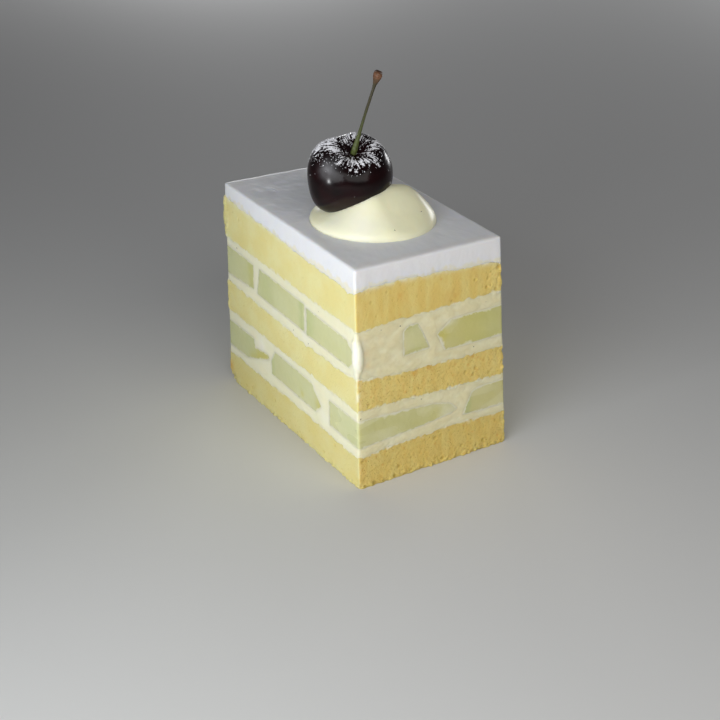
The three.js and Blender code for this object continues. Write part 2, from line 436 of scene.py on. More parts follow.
@dataclass(frozen=True)
class Ring:
    """The slice's plan outline, walked once round with rounded corners.

    Attributes:
        columns: Places on the ring, a multiple of four.
        rounding: Radius of the corners.
        half: Half the slice's length and half its depth.
    """

    columns: int
    rounding: float = 0.45
    half: Pair = (38.2, 24.4)

    def walk(self) -> tuple[Array, Array]:
        """The u and v of each column, and the outward direction there.

        Returns:
            The u and v, and the directions.
        """
        half, radius = np.array(self.half), self.rounding
        corners = []
        outwards = []
        for index, signs in enumerate(((1, -1), (1, 1), (-1, 1), (-1, -1))):
            middle = (half - radius) * np.array(signs)
            angles = np.radians(np.linspace(-90, 0, 9) + 90 * index)
            around = np.stack([np.cos(angles), np.sin(angles)], axis=1)
            corners.append(middle + radius * around)
            outwards.append(around)
        line = np.concatenate(corners + [corners[0][:1]])
        out = np.concatenate(outwards + [outwards[0][:1]])
        run = np.concatenate([[0], np.cumsum(np.linalg.norm(np.diff(line, axis=0), axis=1))])
        stops = np.linspace(0, run[-1], self.columns, endpoint=False)
        path = np.stack([np.interp(stops, run, line[:, i]) for i in range(2)], axis=1)
        facing = np.stack([np.interp(stops, run, out[:, i]) for i in range(2)], axis=1)
        facing /= np.linalg.norm(facing, axis=1)[:, None]
        return path / half, facing


FORM = SliceForm()

FOOT = Boundary(front=(0, 0, 0), side=(0, 0), wobble=0.0)
BOTTOM_SPONGE_TOP = Boundary(
    front=(10.7, 10.9, 10.3),
    side=(11.6, 11.0),
    front_line=((-38, 10.7), (-25, 10.5), (0, 10.8), (20, 10.6), (35, 9.9), (38, 9.8)),
    side_line=((-24, 11.0), (-15, 11.4), (0, 11.7), (10, 12.0), (20, 11.1), (24, 11.0)),
    seed=1,
)
LOWER_FILLING_TOP = Boundary(
    front=(24.0, 24.3, 24.3),
    side=(23.4, 22.4),
    front_line=((-38, 24.0), (-15, 24.2), (0, 24.3), (13, 24.6), (22, 24.2), (38, 24.3)),
    side_line=((-24, 24.4), (-12, 24.2), (0, 23.4), (10, 22.5), (24, 22.4)),
    seed=2,
)
MIDDLE_SPONGE_TOP = Boundary(
    front=(35.0, 34.2, 34.9),
    side=(33.1, 32.4),
    front_line=((-38, 35.0), (-20, 34.7), (0, 34.3), (10, 33.8), (30, 34.2), (38, 35.2)),
    side_line=((-24, 36.0), (-18, 34.6), (-10, 33.5), (0, 33.0), (10, 32.5), (24, 32.4)),
    seed=3,
)
UPPER_FILLING_TOP = Boundary(
    front=(48.5, 48.6, 48.8),
    side=(48.8, 48.4),
    front_line=((-38, 48.5), (-10, 48.6), (10, 48.7), (38, 48.8)),
    side_line=((-24, 48.8), (-10, 49.1), (0, 48.6), (10, 49.0), (20, 48.5), (24, 48.3)),
    seed=4,
)
TOP_SPONGE_TOP = Boundary(
    front=(62.2, 61.2, 61.6),
    side=(60.6, 58.2),
    front_line=(
        (-38, 62.2), (-30, 61.6), (-10, 61.3), (0, 61.2), (5, 60.3), (28, 60.2), (35, 58.8), (38, 59.6),
    ),
    side_line=((-24, 61.8), (-21, 62.7), (-10, 61.5), (0, 60.5), (10, 59.2), (20, 58.3), (24, 57.6)),
    seed=5,
    wobble=0.34,
    ragged=1.2,
)
CROWN = Boundary(front=(66.3, 66.9, 67.4), side=(66.3, 65.2), seed=6, wobble=0.1)


# ---- finishes


class Recipe:
    """A node tree being put together, with short ways to add its nodes and join them."""

    def __init__(self, tree: bpy.types.NodeTree) -> None:
        """Start from an empty tree."""
        self.tree = tree
        tree.nodes.clear()

    def add(self, kind: str, **settings: object) -> Node:
        """Add a node, and set its own properties.

        Args:
            kind: The node's type.
            **settings: Its properties.

        Returns:
            The node.
        """
        node = self.tree.nodes.new(kind)
        for name, value in settings.items():
            setattr(node, name, value)
        return node

    def feed(self, socket: Socket, value: object) -> None:
        """Give a socket a constant, or the output that it is to read.

        Args:
            socket: The socket.
            value: The constant or the output.
        """
        if isinstance(value, Socket):
            self.tree.links.new(value, socket)
        elif isinstance(value, tuple) and len(value) == 3 and socket.type == "RGBA":
            socket.default_value = (*value, 1.0)
        else:
            socket.default_value = value

    def attribute(self, name: str) -> Socket:
        """A value that is painted on the vertices."""
        return self.add("ShaderNodeAttribute", attribute_name=name).outputs["Fac"]

    def coordinates(self) -> Socket:
        """The piece's own coordinates, in metres."""
        return self.add("ShaderNodeTexCoord").outputs["Object"]

    def stretched(self, vector: Socket, scale: Triple) -> Socket:
        """Coordinates scaled along each axis.

        Args:
            vector: The coordinates.
            scale: The scale along each axis.

        Returns:
            The scaled coordinates.
        """
        node = self.add("ShaderNodeMapping")
        self.feed(node.inputs["Vector"], vector)
        node.inputs["Scale"].default_value = scale
        return node.outputs["Vector"]

    def mixed(self, factor: object, first: object, second: object) -> Socket:
        """Two colours mixed by a factor.

        Args:
            factor: The share of the second.
            first: A colour.
            second: Another.

        Returns:
            The mixed colour.
        """
        node = self.add("ShaderNodeMix", data_type="RGBA")
        self.feed(node.inputs[0], factor)
        self.feed(node.inputs[6], first)
        self.feed(node.inputs[7], second)
        return node.outputs[2]

    def sum(self, operation: str, first: object, second: object) -> Socket:
        """Two values put through an arithmetic operation.

        Args:
            operation: What is done with them.
            first: A value.
            second: Another.

        Returns:
            The result.
        """
        node = self.add("ShaderNodeMath", operation=operation)
        self.feed(node.inputs[0], first)
        self.feed(node.inputs[1], second)
        return node.outputs[0]

    def ranged(self, value: object, low: float, high: float, to: Pair = (0.0, 1.0)) -> Socket:
        """A value brought from one range to another, and held there.

        Args:
            value: The value.
            low: What goes to the start of the new range.
            high: What goes to its end.
            to: The new range.

        Returns:
            The new value.
        """
        node = self.add("ShaderNodeMapRange")
        self.feed(node.inputs["Value"], value)
        node.inputs["From Min"].default_value = low
        node.inputs["From Max"].default_value = high
        node.inputs["To Min"].default_value, node.inputs["To Max"].default_value = to
        return node.outputs["Result"]

    def effect(self, group: bpy.types.NodeTree, output: str, **values: object) -> Socket:
        """Place a shared effect with its own values, and give one of its outputs.

        Args:
            group: The effect.
            output: The output's name.
            **values: What it is fed.

        Returns:
            The output.
        """
        node = self.add("ShaderNodeGroup", node_tree=group)
        for name, value in values.items():
            self.feed(node.inputs[name], value)
        return node.outputs[output]


def effect_tree(name: str, inputs: dict[str, object], outputs: dict[str, str]) -> tuple[Recipe, dict, dict]:
    """Make an empty node group with named sockets.

    Args:
        name: The group's name.
        inputs: For each input, its socket kind, or its kind and default value.
        outputs: For each output, its socket kind.

    Returns:
        The recipe, the input sockets by name and the output sockets by name.
    """
    tree = bpy.data.node_groups.new(name, "ShaderNodeTree")
    for label, kind in inputs.items():
        kind, value = kind if isinstance(kind, tuple) else (kind, None)
        socket = tree.interface.new_socket(label, in_out="INPUT", socket_type=f"NodeSocket{kind}")
        if value is not None:
            socket.default_value = value
    for label, kind in outputs.items():
        tree.interface.new_socket(label, in_out="OUTPUT", socket_type=f"NodeSocket{kind}")
    recipe = Recipe(tree)
    into = recipe.add("NodeGroupInput")
    out = recipe.add("NodeGroupOutput")
    return recipe, {s.name: s for s in into.outputs}, {s.name: s for s in out.inputs}


def mottle_effect() -> bpy.types.NodeTree:
    """Soft patches of a second colour over a base colour.

    Returns:
        The node group.
    """
    recipe, given, out = effect_tree(
        "mottle",
        {"Vector": "Vector", "Base": "Color", "Tint": "Color", "Scale": "Float", "Amount": "Float"},
        {"Colour": "Color"},
    )
    texture = recipe.add("ShaderNodeTexNoise")
    recipe.feed(texture.inputs["Vector"], given["Vector"])
    recipe.feed(texture.inputs["Scale"], given["Scale"])
    texture.inputs["Detail"].default_value = 4.0
    patches = recipe.ranged(texture.outputs["Fac"], 0.38, 0.64)
    factor = recipe.sum("MULTIPLY", patches, given["Amount"])
    recipe.feed(out["Colour"], recipe.mixed(factor, given["Base"], given["Tint"]))
    return recipe.tree


def crumb_effect() -> bpy.types.NodeTree:
    """The fine open crumb of a sponge: a mask of its small pores and their height.

    Returns:
        The node group.
    """
    recipe, given, out = effect_tree(
        "crumb",
        {"Vector": "Vector", "Cells": "Float", "Grain": "Float"},
        {"Pores": "Float", "Height": "Float"},
    )
    cells = recipe.add("ShaderNodeTexVoronoi")
    recipe.feed(cells.inputs["Vector"], given["Vector"])
    recipe.feed(cells.inputs["Scale"], given["Cells"])
    grain = recipe.add("ShaderNodeTexNoise")
    recipe.feed(grain.inputs["Vector"], given["Vector"])
    recipe.feed(grain.inputs["Scale"], given["Grain"])
    grain.inputs["Detail"].default_value = 5.0
    grain.inputs["Roughness"].default_value = 0.6
    spread = recipe.ranged(grain.outputs["Fac"], 0.3, 0.7, (0.12, 0.42))
    open_cells = recipe.sum("SUBTRACT", spread, cells.outputs["Distance"])
    pores = recipe.ranged(open_cells, 0.0, 0.2)
    recipe.feed(out["Pores"], pores)
    lumps = recipe.sum("MULTIPLY", grain.outputs["Fac"], 1.2)
    recipe.feed(out["Height"], recipe.sum("SUBTRACT", lumps, pores))
    return recipe.tree


def silk_effect() -> bpy.types.NodeTree:
    """The faint marks that a knife or palette leaves in cream and fruit, as a height.

    Returns:
        The node group.
    """
    recipe, given, out = effect_tree(
        "silk", {"Vector": "Vector", "Scale": "Float"}, {"Height": "Float"}
    )
    drag = recipe.add("ShaderNodeTexNoise")
    recipe.feed(drag.inputs["Vector"], given["Vector"])
    recipe.feed(drag.inputs["Scale"], given["Scale"])
    drag.inputs["Detail"].default_value = 3.0
    drag.inputs["Distortion"].default_value = 0.6
    recipe.feed(out["Height"], drag.outputs["Fac"])
    return recipe.tree


class Finish:
    """What every finish shares: a material with one principled shader."""

    def recipe(self, name: str) -> tuple[Recipe, Node, Material]:
        """Start a material with its shader and output joined.

        Args:
            name: The material's name.

        Returns:
            The recipe, the shader and the material.
        """
        material = bpy.data.materials.new(name)
        material.use_nodes = True
        recipe = Recipe(material.node_tree)
        shader = recipe.add("ShaderNodeBsdfPrincipled")
        output = recipe.add("ShaderNodeOutputMaterial")
        recipe.feed(output.inputs["Surface"], shader.outputs["BSDF"])
        return recipe, shader, material

    def soften(self, shader: Node, weight: float, radius: Triple) -> None:
        """Let light scatter under the surface, to depths in millimetres for red, green and blue.

        Args:
            shader: Its shader.
            weight: How much light goes under.
            radius: The three depths.
        """
        shader.inputs["Subsurface Weight"].default_value = weight
        shader.inputs["Subsurface Radius"].default_value = radius
        shader.inputs["Subsurface Scale"].default_value = MM

    def mottled(
        self, recipe: Recipe, effects: Effects, where: object, colours: tuple[object, object], scale: float,
        amount: float,
    ) -> Socket:
        """Soft patches of the second of two colours over the first, at a scale and by an amount."""
        given = {"Vector": where, "Base": colours[0], "Tint": colours[1], "Scale": scale, "Amount": amount}
        return recipe.effect(effects["mottle"], "Colour", **given)

    def marked(
        self, recipe: Recipe, effects: Effects, shader: Node, where: object, scale: float,
        depth: float, strength: float,
    ) -> None:
        """Give the surface faint knife marks at a scale, of a depth in millimetres and a strength."""
        marks = recipe.effect(effects["silk"], "Height", Vector=where, Scale=scale)
        self.emboss(recipe, shader, marks, depth, strength)

    def emboss(self, recipe: Recipe, shader: Node, height: object, depth: float, strength: float) -> None:
        """Give the surface a relief of a depth in millimetres.

        Args:
            recipe: The finish's recipe.
            shader: Its shader.
            height: The relief from 0 to 1.
            depth: Its depth.
            strength: How strongly it shows.
        """
        bump = recipe.add("ShaderNodeBump")
        bump.inputs["Strength"].default_value = strength
        bump.inputs["Distance"].default_value = depth * MM
        recipe.feed(bump.inputs["Height"], height)
        recipe.feed(shader.inputs["Normal"], bump.outputs["Normal"])


@dataclass(frozen=True)
class SpongeFinish(Finish):
    """Golden sponge: paler on the long face and more golden on the short one, where the warmer light that
    falls on that face is painted into the colour; its pores are painted darker, as painted shade.
    """

    pale: Triple = (0.78, 0.69, 0.29)
    pale_tint: Triple = (0.80, 0.75, 0.37)
    # pale_pore and golden_pore are painted shade: the darker colour of the insides of the pores
    pale_pore: Triple = (0.60, 0.47, 0.14)
    # golden, golden_tint and golden_pore are the short face's colours, with its warmer light painted in
    golden: Triple = (0.77, 0.572, 0.175)
    golden_tint: Triple = (0.80, 0.655, 0.24)
    golden_pore: Triple = (0.53, 0.38, 0.085)
    baked: Triple = (0.80, 0.53, 0.15)
    stain: Triple = (0.68, 0.33, 0.04)
    film: Triple = (0.90, 0.87, 0.66)
    cells: float = 1500.0
    grain: float = 900.0

    def make(self, effects: Effects) -> Material:
        """Build the material from the shared effects.

        Args:
            effects: The shared effects, by name.

        Returns:
            The material.
        """
        recipe, shader, material = self.recipe("sponge_crumb")
        where = recipe.coordinates()
        side = recipe.attribute("side")
        coarse = recipe.attribute("coarse")
        pale = self.mottled(recipe, effects, where, (self.pale, self.pale_tint), scale=120.0, amount=0.8)
        streaks = recipe.stretched(where, (1.0, 1.0, 0.22))
        golden = self.mottled(
            recipe, effects, streaks, (self.golden, self.golden_tint), scale=420.0, amount=0.8
        )
        blotches = recipe.add("ShaderNodeTexNoise")
        recipe.feed(blotches.inputs["Vector"], recipe.stretched(where, (1.0, 1.0, 0.45)))
        blotches.inputs["Scale"].default_value = 640.0
        baked = recipe.ranged(blotches.outputs["Fac"], 0.5, 0.7)
        baked = recipe.sum("MULTIPLY", baked, recipe.ranged(coarse, 0.2, 1.0, (0.12, 0.3)))
        golden = recipe.mixed(baked, golden, self.baked)
        # Painted light: the side mask gives the short face the warmer colour of the light that falls there
        colour = recipe.mixed(side, pale, golden)
        # Painted shade: the hole colour darkens the fine pores below and the dug pores of the pore mask
        hole = recipe.mixed(side, self.pale_pore, self.golden_pore)
        crumb = {"Vector": where, "Cells": self.cells, "Grain": self.grain}
        fine = recipe.effect(effects["crumb"], "Pores", **crumb)
        height = recipe.effect(effects["crumb"], "Height", **crumb)
        open_share = recipe.ranged(coarse, 0.1, 1.0, (0.02, 0.42))
        colour = recipe.mixed(recipe.sum("MULTIPLY", fine, open_share), colour, hole)
        colour = recipe.mixed(recipe.attribute("pore"), colour, hole)
        colour = recipe.mixed(recipe.attribute("stain"), colour, self.stain)
        film = recipe.attribute("film")
        colour = recipe.mixed(film, colour, self.film)
        recipe.feed(shader.inputs["Base Color"], colour)
        recipe.feed(shader.inputs["Roughness"], recipe.ranged(film, 0.0, 1.0, (0.92, 0.6)))
        shader.inputs["Specular IOR Level"].default_value = 0.2
        self.soften(shader, 0.35, (2.2, 1.6, 0.8))
        self.emboss(recipe, shader, recipe.sum("MULTIPLY", height, coarse), 0.16, 0.9)
        return material


@dataclass(frozen=True)
class CreamFinish(Finish):
    """A smooth cream.

    Attributes:
        name: The material's name.
        colour: Its colour on the long face and where no face is named.
        tint: The colour of its soft patches.
        side: Its colour on the short face, with the warmer light and the shade that fall there painted in.
        stain: The colour of juice and crumb dragged over it.
        white: The near-white colour that the bright mask mixes in: painted light on the dollop's lit front,
            brighter patches in the fillings.
        roughness: How matt it is.
        relief: Depth of its knife marks, in millimetres.
    """

    name: str
    colour: Triple
    tint: Triple
    side: Triple
    stain: Triple = (0.86, 0.58, 0.22)
    white: Triple = (0.98, 0.97, 0.84)
    roughness: float = 0.5
    relief: float = 0.08

    def make(self, effects: Effects) -> Material:
        """Build the material from the shared effects.

        Args:
            effects: The shared effects, by name.

        Returns:
            The material.
        """
        recipe, shader, material = self.recipe(self.name)
        where = recipe.coordinates()
        colour = self.mottled(recipe, effects, where, (self.colour, self.tint), scale=160.0, amount=0.5)
        # Painted light and shade: the side mask gives the short face its own warmer colour
        colour = recipe.mixed(recipe.attribute("side"), colour, self.side)
        colour = recipe.mixed(recipe.attribute("stain"), colour, self.stain)
        # The bright mask mixes in the near-white colour: painted light on the dollop, brighter patches in the
        # fillings
        colour = recipe.mixed(recipe.attribute("bright"), colour, self.white)
        recipe.feed(shader.inputs["Base Color"], colour)
        shader.inputs["Roughness"].default_value = self.roughness
        shader.inputs["Specular IOR Level"].default_value = 0.4
        self.soften(shader, 0.4, (2.4, 2.0, 1.4))
        self.marked(recipe, effects, shader, where, scale=420.0, depth=self.relief, strength=0.6)
        return material


@dataclass(frozen=True)
class MelonFinish(Finish):
    """Moist, half clear melon flesh, deeper green towards one end, and more golden on the short face, where
    the warmer light that falls there is painted in.
    """

    flesh: Triple = (0.70, 0.69, 0.38)
    flesh_tint: Triple = (0.74, 0.74, 0.45)
    # golden is the short face's colour, with the warmer light there painted in
    golden: Triple = (0.69, 0.615, 0.285)
    green: Triple = (0.52, 0.58, 0.26)
    warm: Triple = (0.64, 0.575, 0.125)
    film: Triple = (0.92, 0.89, 0.68)

    def make(self, effects: Effects) -> Material:
        """Build the material from the shared effects.

        Args:
            effects: The shared effects, by name.

        Returns:
            The material.
        """
        recipe, shader, material = self.recipe("melon_flesh")
        where = recipe.coordinates()
        fibres = recipe.stretched(where, (1.0, 1.0, 1.6))
        colour = self.mottled(recipe, effects, fibres, (self.flesh, self.flesh_tint), scale=90.0, amount=0.8)
        # Painted light: the side mask gives the short face the golden colour
        colour = recipe.mixed(recipe.attribute("side"), colour, self.golden)
        colour = recipe.mixed(recipe.attribute("green"), colour, self.green)
        colour = recipe.mixed(recipe.attribute("stain"), colour, self.warm)
        film = recipe.attribute("film")
        colour = recipe.mixed(film, colour, self.film)
        recipe.feed(shader.inputs["Base Color"], colour)
        recipe.feed(shader.inputs["Roughness"], recipe.ranged(film, 0.0, 1.0, (0.26, 0.42)))
        shader.inputs["Specular IOR Level"].default_value = 0.45
        self.soften(shader, 0.55, (2.4, 2.6, 1.6))
        self.marked(recipe, effects, shader, fibres, scale=600.0, depth=0.06, strength=0.5)
        return material


@dataclass(frozen=True)
class CherryFinish(Finish):
    """Near-black glossy skin under drifts of powdered sugar, with a veil of the sugar colour beside the
    highlight that is painted sheen.
    """

    skin: Triple = (0.0045, 0.0016, 0.0018)
    blush: Triple = (0.013, 0.0026, 0.0032)
    powder_and_sheen: Triple = (0.86, 0.86, 0.90)

    def make(self, effects: Effects) -> Material:
        """Build the material from the shared effects.

        Args:
            effects: The shared effects, by name.

        Returns:
            The material.
        """
        recipe, shader, material = self.recipe("cherry_skin")
        where = recipe.coordinates()
        colour = self.mottled(recipe, effects, where, (self.skin, self.blush), scale=190.0, amount=0.8)
        # This mask holds the sugar and also the painted sheen beside the highlight
        powder_and_sheen = recipe.attribute("powder_and_sheen")
        colour = recipe.mixed(powder_and_sheen, colour, self.powder_and_sheen)
        recipe.feed(shader.inputs["Base Color"], colour)
        recipe.feed(shader.inputs["Roughness"], recipe.ranged(powder_and_sheen, 0.0, 0.6, (0.21, 0.95)))
        shader.inputs["Specular IOR Level"].default_value = 0.22
        self.marked(recipe, effects, shader, where, scale=300.0, depth=0.06, strength=0.35)
        return material


@dataclass(frozen=True)
class StemFinish(Finish):
    """A stalk that goes from fresh green at its root to brown, with a red-brown knob."""

    green: Triple = (0.085, 0.115, 0.022)
    brown: Triple = (0.042, 0.036, 0.014)
    knob: Triple = (0.17, 0.072, 0.036)

    def make(self, effects: Effects) -> Material:
        """Build the material from the shared effects.

        Args:
            effects: The shared effects, by name.

        Returns:
            The material.
        """
        recipe, shader, material = self.recipe("cherry_stalk")
        where = recipe.coordinates()
        along = recipe.attribute("along")
        colour = recipe.mixed(recipe.ranged(along, 0.1, 0.62), self.green, self.brown)
        colour = recipe.mixed(recipe.ranged(along, 0.86, 0.95), colour, self.knob)
        colour = self.mottled(recipe, effects, where, (colour, self.brown), scale=1400.0, amount=0.45)
        recipe.feed(shader.inputs["Base Color"], colour)
        shader.inputs["Roughness"].default_value = 0.5
        self.marked(recipe, effects, shader, where, scale=2600.0, depth=0.08, strength=0.6)
        return material


@dataclass(frozen=True)
class PlainFinish(Finish):
    """Two plain colours in soft patches, for the grains and the floor.

    Attributes:
        name: The material's name.
        colour: Its colour.
        tint: The colour of its patches.
        roughness: How matt it is.
        scale: How small the patches are.
        amount: How strongly they show.
    """

    name: str
    colour: Triple
    tint: Triple
    roughness: float
    scale: float = 1100.0
    amount: float = 0.7

    def make(self, effects: Effects) -> Material:
        """Build the material from the shared effects.

        Args:
            effects: The shared effects, by name.

        Returns:
            The material.
        """
        recipe, shader, material = self.recipe(self.name)
        patches = (self.colour, self.tint)
        colour = self.mottled(recipe, effects, recipe.coordinates(), patches, self.scale, self.amount)
        recipe.feed(shader.inputs["Base Color"], colour)
        shader.inputs["Roughness"].default_value = self.roughness
        return material


# Each cream's third colour is its short face's: painted warm light, and for the filling cream painted shade
# too
FILLING_CREAM = CreamFinish(
    "filling_cream", (0.92, 0.88, 0.61), (0.94, 0.91, 0.68), (0.81, 0.73, 0.45), roughness=0.36
)
TOP_CREAM = CreamFinish(
    "top_cream", (0.84, 0.85, 0.88), (0.87, 0.88, 0.90), (0.84, 0.83, 0.84), (0.86, 0.78, 0.46), relief=0.05
)
DOLLOP_CREAM = CreamFinish(
    "dollop_cream", (0.96, 0.91, 0.61), (0.96, 0.93, 0.66), (0.96, 0.91, 0.61), roughness=0.36, relief=0.03
)
SUGAR = PlainFinish("powdered_sugar", (0.88, 0.88, 0.91), (0.82, 0.82, 0.87), roughness=0.9)
SEED = PlainFinish("vanilla_seed", (0.035, 0.022, 0.012), (0.09, 0.06, 0.03), roughness=0.6)
FLOOR = PlainFinish(
    "studio_floor", (0.66, 0.66, 0.65), (0.64, 0.64, 0.63), roughness=0.85, scale=3.0, amount=0.5
)


# ---- sponges


@dataclass(frozen=True)
class Spot:
    """A stained or torn place on a face: where it is, how wide and how strong."""

    centre: Triple
    radius: float
    strength: float = 0.8


def gathered(spots: Sequence[Spot], points: Array) -> Array:
    """The strength of spots at places, added up.

    Args:
        spots: The spots.
        points: Places, one to a row.

    Returns:
        The strengths.
    """
    total = np.zeros(len(points))
    for spot in spots:
        total += spot.strength * bell(np.linalg.norm(points - np.array(spot.centre), axis=1), spot.radius)
    return total


def on_side(depths: Array) -> Array:
    """1 on the short face and 0 on the others, for places with depths behind the faces."""
    others = depths[:, [0, 2, 3]].min(axis=1)
    return smooth(0.5 + (others - depths[:, 1]) / 0.35) * smooth((4 - depths[:, 1]) / 2)


@dataclass
class SpongeLayer:
    """One layer of sponge, with rounded cut edges, open crumb and a film of cream at its edges.

    Attributes:
        name: The piece's name.
        node: The solid that it stands for.
        lower: The boundary under it.
        upper: The boundary over it.
        stains: Browned or juicy dots.
        holes: Coarse torn places.
        bulge: How far the hidden end swells.
        coarse: How open its crumb is, up to 1.
        foot: Whether it stands on the table; such a layer is also painted darker all over, as painted shade.
        frosted: How strongly the cream over it is dragged down its faces.
        scraped: How much cream is dragged along its near corner.
        seed: Shifts its crumb.
    """

    name: str
    node: str
    lower: Boundary
    upper: Boundary
    stains: tuple[Spot, ...] = ()
    holes: tuple[Spot, ...] = ()
    bulge: float = 0.3
    coarse: float = 1.0
    foot: bool = False
    frosted: float = 0.0
    scraped: float = 0.1
    seed: float = 0.0

    # Vertices round the layer, height of a row, rounding of the edges and rings of the caps.
    COLUMNS: int = 1000
    CELL: float = 0.26
    EDGE: float = 0.07
    CAPS: tuple[float, ...] = (9.0, 4.0, 1.8, 0.8, 0.35)
    FILM: float = 0.75
    # Distances between pores, their depths, the width of the foot's crumbs and its eaten-in end.
    WIDE_PORES: float = 1.7
    WIDE_DEPTH: float = 0.34
    SMALL_PORES: float = 0.8
    SMALL_DEPTH: float = 0.13
    CRUMBS: float = 1.2
    UNDERCUT: float = 1.7
    UNDERCUT_FROM: float = -33.5
    UNDERCUT_HEIGHT: float = 4.5

    def make(self, finish: Material) -> Piece:
        """Build and dress the layer.

        Args:
            finish: Its finish.

        Returns:
            The piece.
        """
        middle = np.zeros(1)
        thickness = float(self.upper.level(middle, middle)[0] - self.lower.level(middle, middle)[0])
        walls = round(thickness / self.CELL)
        share = np.concatenate([np.zeros(len(self.CAPS)), np.linspace(0, 1, walls), np.ones(len(self.CAPS))])
        inset = np.concatenate([self.CAPS, np.zeros(walls), self.CAPS[::-1]])
        uv, facing = Ring(self.COLUMNS).walk()

        def place(column: Array, row: Array) -> Array:
            """The smooth block of the layer."""
            return self.block(uv[column], facing[column], share[row], inset[row])

        piece = loft(self.name, self.COLUMNS, len(share), place)
        self.tear(piece)
        return present(piece, finish, "sponge", self.node)

    def block(self, uv: Array, facing: Array, share: Array, inset: Array) -> Array:
        """Places on the layer before its crumb: share goes up the wall and inset goes in over the caps.

        Args:
            uv: Places round the slice.
            facing: The outward directions there.
            share: How far up the wall, from 0 to 1.
            inset: How far in over the caps, in millimetres.

        Returns:
            The places.
        """
        shrink = 1 - inset[:, None] / np.array(Ring.half)
        u, v = (uv * shrink).T
        lift = np.clip(share, 0, 1)
        guess = FORM.plan(u, v, np.full_like(u, 30.0))
        low = self.lower.height(*guess.T)
        high = self.upper.height(*guess.T)
        z = low + (high - low) * lift
        plan = FORM.plan(u, v, z)
        rise, drop = (high - low) * share, (high - low) * (1 - share)
        near = np.minimum(rise, drop)
        if self.foot:
            near = np.where(rise < drop, np.maximum(near, self.EDGE * 0.4), near)
        held = np.clip(near / self.EDGE, 0, 1)
        rounding = self.EDGE * (1 - np.sqrt(1 - (1 - held) ** 2))
        end = smooth((-facing[:, 0] - 0.2) / 0.8)
        swell = self.bulge * end * np.sqrt(np.sin(math.pi * np.clip(share, 0, 1)))
        out = np.where(inset > 0, 0, swell) - rounding
        if self.foot:
            under = smooth((self.UNDERCUT_FROM - plan[:, 0]) / 5)
            out -= self.UNDERCUT * under * np.clip(1 - z / self.UNDERCUT_HEIGHT, 0, 1) ** 2
        plan = plan + facing * out[:, None]
        return np.column_stack([plan, z])

    def tear(self, piece: Piece) -> None:
        """Open the crumb of the walls, and paint what the finish reads.

        Args:
            piece: The piece.
        """
        points = places(piece)
        normals = directions(piece)
        depths = FORM.depths(points)
        wall = smooth((np.abs(normals[:, 2]) - 0.95) / -0.35)
        wall *= depths.min(axis=1) < 1.5
        side = on_side(depths)
        hidden = np.maximum(smooth((2.5 - depths[:, 2]) / 2), smooth((2.5 - depths[:, 3]) / 2))
        above = points[:, 2] - self.lower.level(points[:, 0], points[:, 1])
        below = self.upper.level(points[:, 0], points[:, 1]) - points[:, 2]
        torn = gathered(self.holes, points)
        rim = bell(above, 2.4) * (1.0 if self.foot else 0.3) + 0.35 * bell(below, 1.5)
        seen = np.maximum(0.3 + 0.7 * side, hidden)
        share = 0.02 + self.coarse * (0.05 * side + 0.24 * hidden + 0.55 * rim * seen) + torn
        wide = pits(points, self.WIDE_PORES, share, self.seed)
        share += 0.05 + self.coarse * (0.16 + 0.2 * side + 0.3 * hidden)
        small = pits(points, self.SMALL_PORES, share, self.seed + 5)
        rough = 0.35 + self.coarse * 0.55 * side + 0.85 * hidden + torn
        if self.foot:
            rough += 1.1 * bell(above, 1.8)
        depth = rough * self.relief(points, hidden)
        depth -= self.WIDE_DEPTH * wide * (1 + 0.5 * hidden) + self.SMALL_DEPTH * small
        if self.foot:
            crumbs = np.clip(0.75 * cloud(points, self.CRUMBS, self.seed + 15), -0.28, 0.6)
            depth += crumbs * bell(above, 1.2)
        flat = normals * np.array((1.0, 1.0, 0.25))
        points = points + flat * (wall * depth)[:, None]
        points[:, 2] = np.maximum(points[:, 2], 0.0)
        move_to(piece, points)
        # Painted light: the side mask turns the short face golden in the finish
        paint(piece, "side", side)
        paint(piece, "coarse", self.coarse * (0.35 + 0.65 * side) + 0.4 * hidden)
        # Painted shade: the pore mask darkens the dug pores, more on the short face
        dark = (0.6 * wide + 0.28 * small) * (0.5 + 0.5 * side)
        # Painted shade: the foot layer is painted darker all over, and its pores darker still towards the
        # floor
        if self.foot:
            dark += (0.5 * wide + 0.6 * small) * bell(above, 2.8) + 0.2
        paint(piece, "pore", wall * np.clip(dark, 0, 1))
        specks = pits(points, 1.3, side * self.coarse * (0.12 + 0.5 * bell(below, 1.8)), self.seed + 11)
        stains = gathered(self.stains, points) * (0.7 + 0.5 * cloud(points, 1.2, self.seed + 2))
        paint(piece, "stain", stains + 0.5 * specks)
        paint(piece, "film", self.film(points, depths, above, below))

    def relief(self, points: Array, hidden: Array) -> Array:
        """The lumps of the crumb at places, coarser where hidden is 1."""
        lumps = 0.10 * cloud(points, 3.2, self.seed, 2) + 0.075 * cloud(points, 0.85, self.seed + 1, 3)
        return lumps + 0.24 * hidden * cloud(points, 1.9, self.seed + 6, 2)

    def film(self, points: Array, depths: Array, above: Array, below: Array) -> Array:
        """How thickly cream lies over places: along the layer's edges and down its near corner.

        Args:
            points: Places, one to a row.
            depths: How deep they lie behind the four faces.
            above: How far they are above the layer's foot.
            below: How far they are below its top.

        Returns:
            The thickness from 0 to 1.
        """
        ragged = cloud(points, 2.4, self.seed + 8, 3)
        reach = self.FILM * np.clip(0.7 + 1.5 * ragged, 0.06, 3)
        top = smooth(1.25 - below / reach)
        top = np.maximum(top, self.frosted * bell(below, 1.1) * np.clip(0.9 + 1.2 * ragged, 0, 1))
        bottom = 0 * top if self.foot else smooth(1.25 - above / reach)
        corner = self.scraped * bell(depths[:, 0] + depths[:, 1], 0.9) * np.clip(0.7 + 1.3 * ragged, 0, 1)
        return np.maximum(0.85 * np.maximum(top, bottom), corner)


# ---- melon pieces and fillings


class Facing(Enum):
    """The face on which a melon piece's outline is drawn."""

    FRONT = "long face"
    SIDE = "short face"


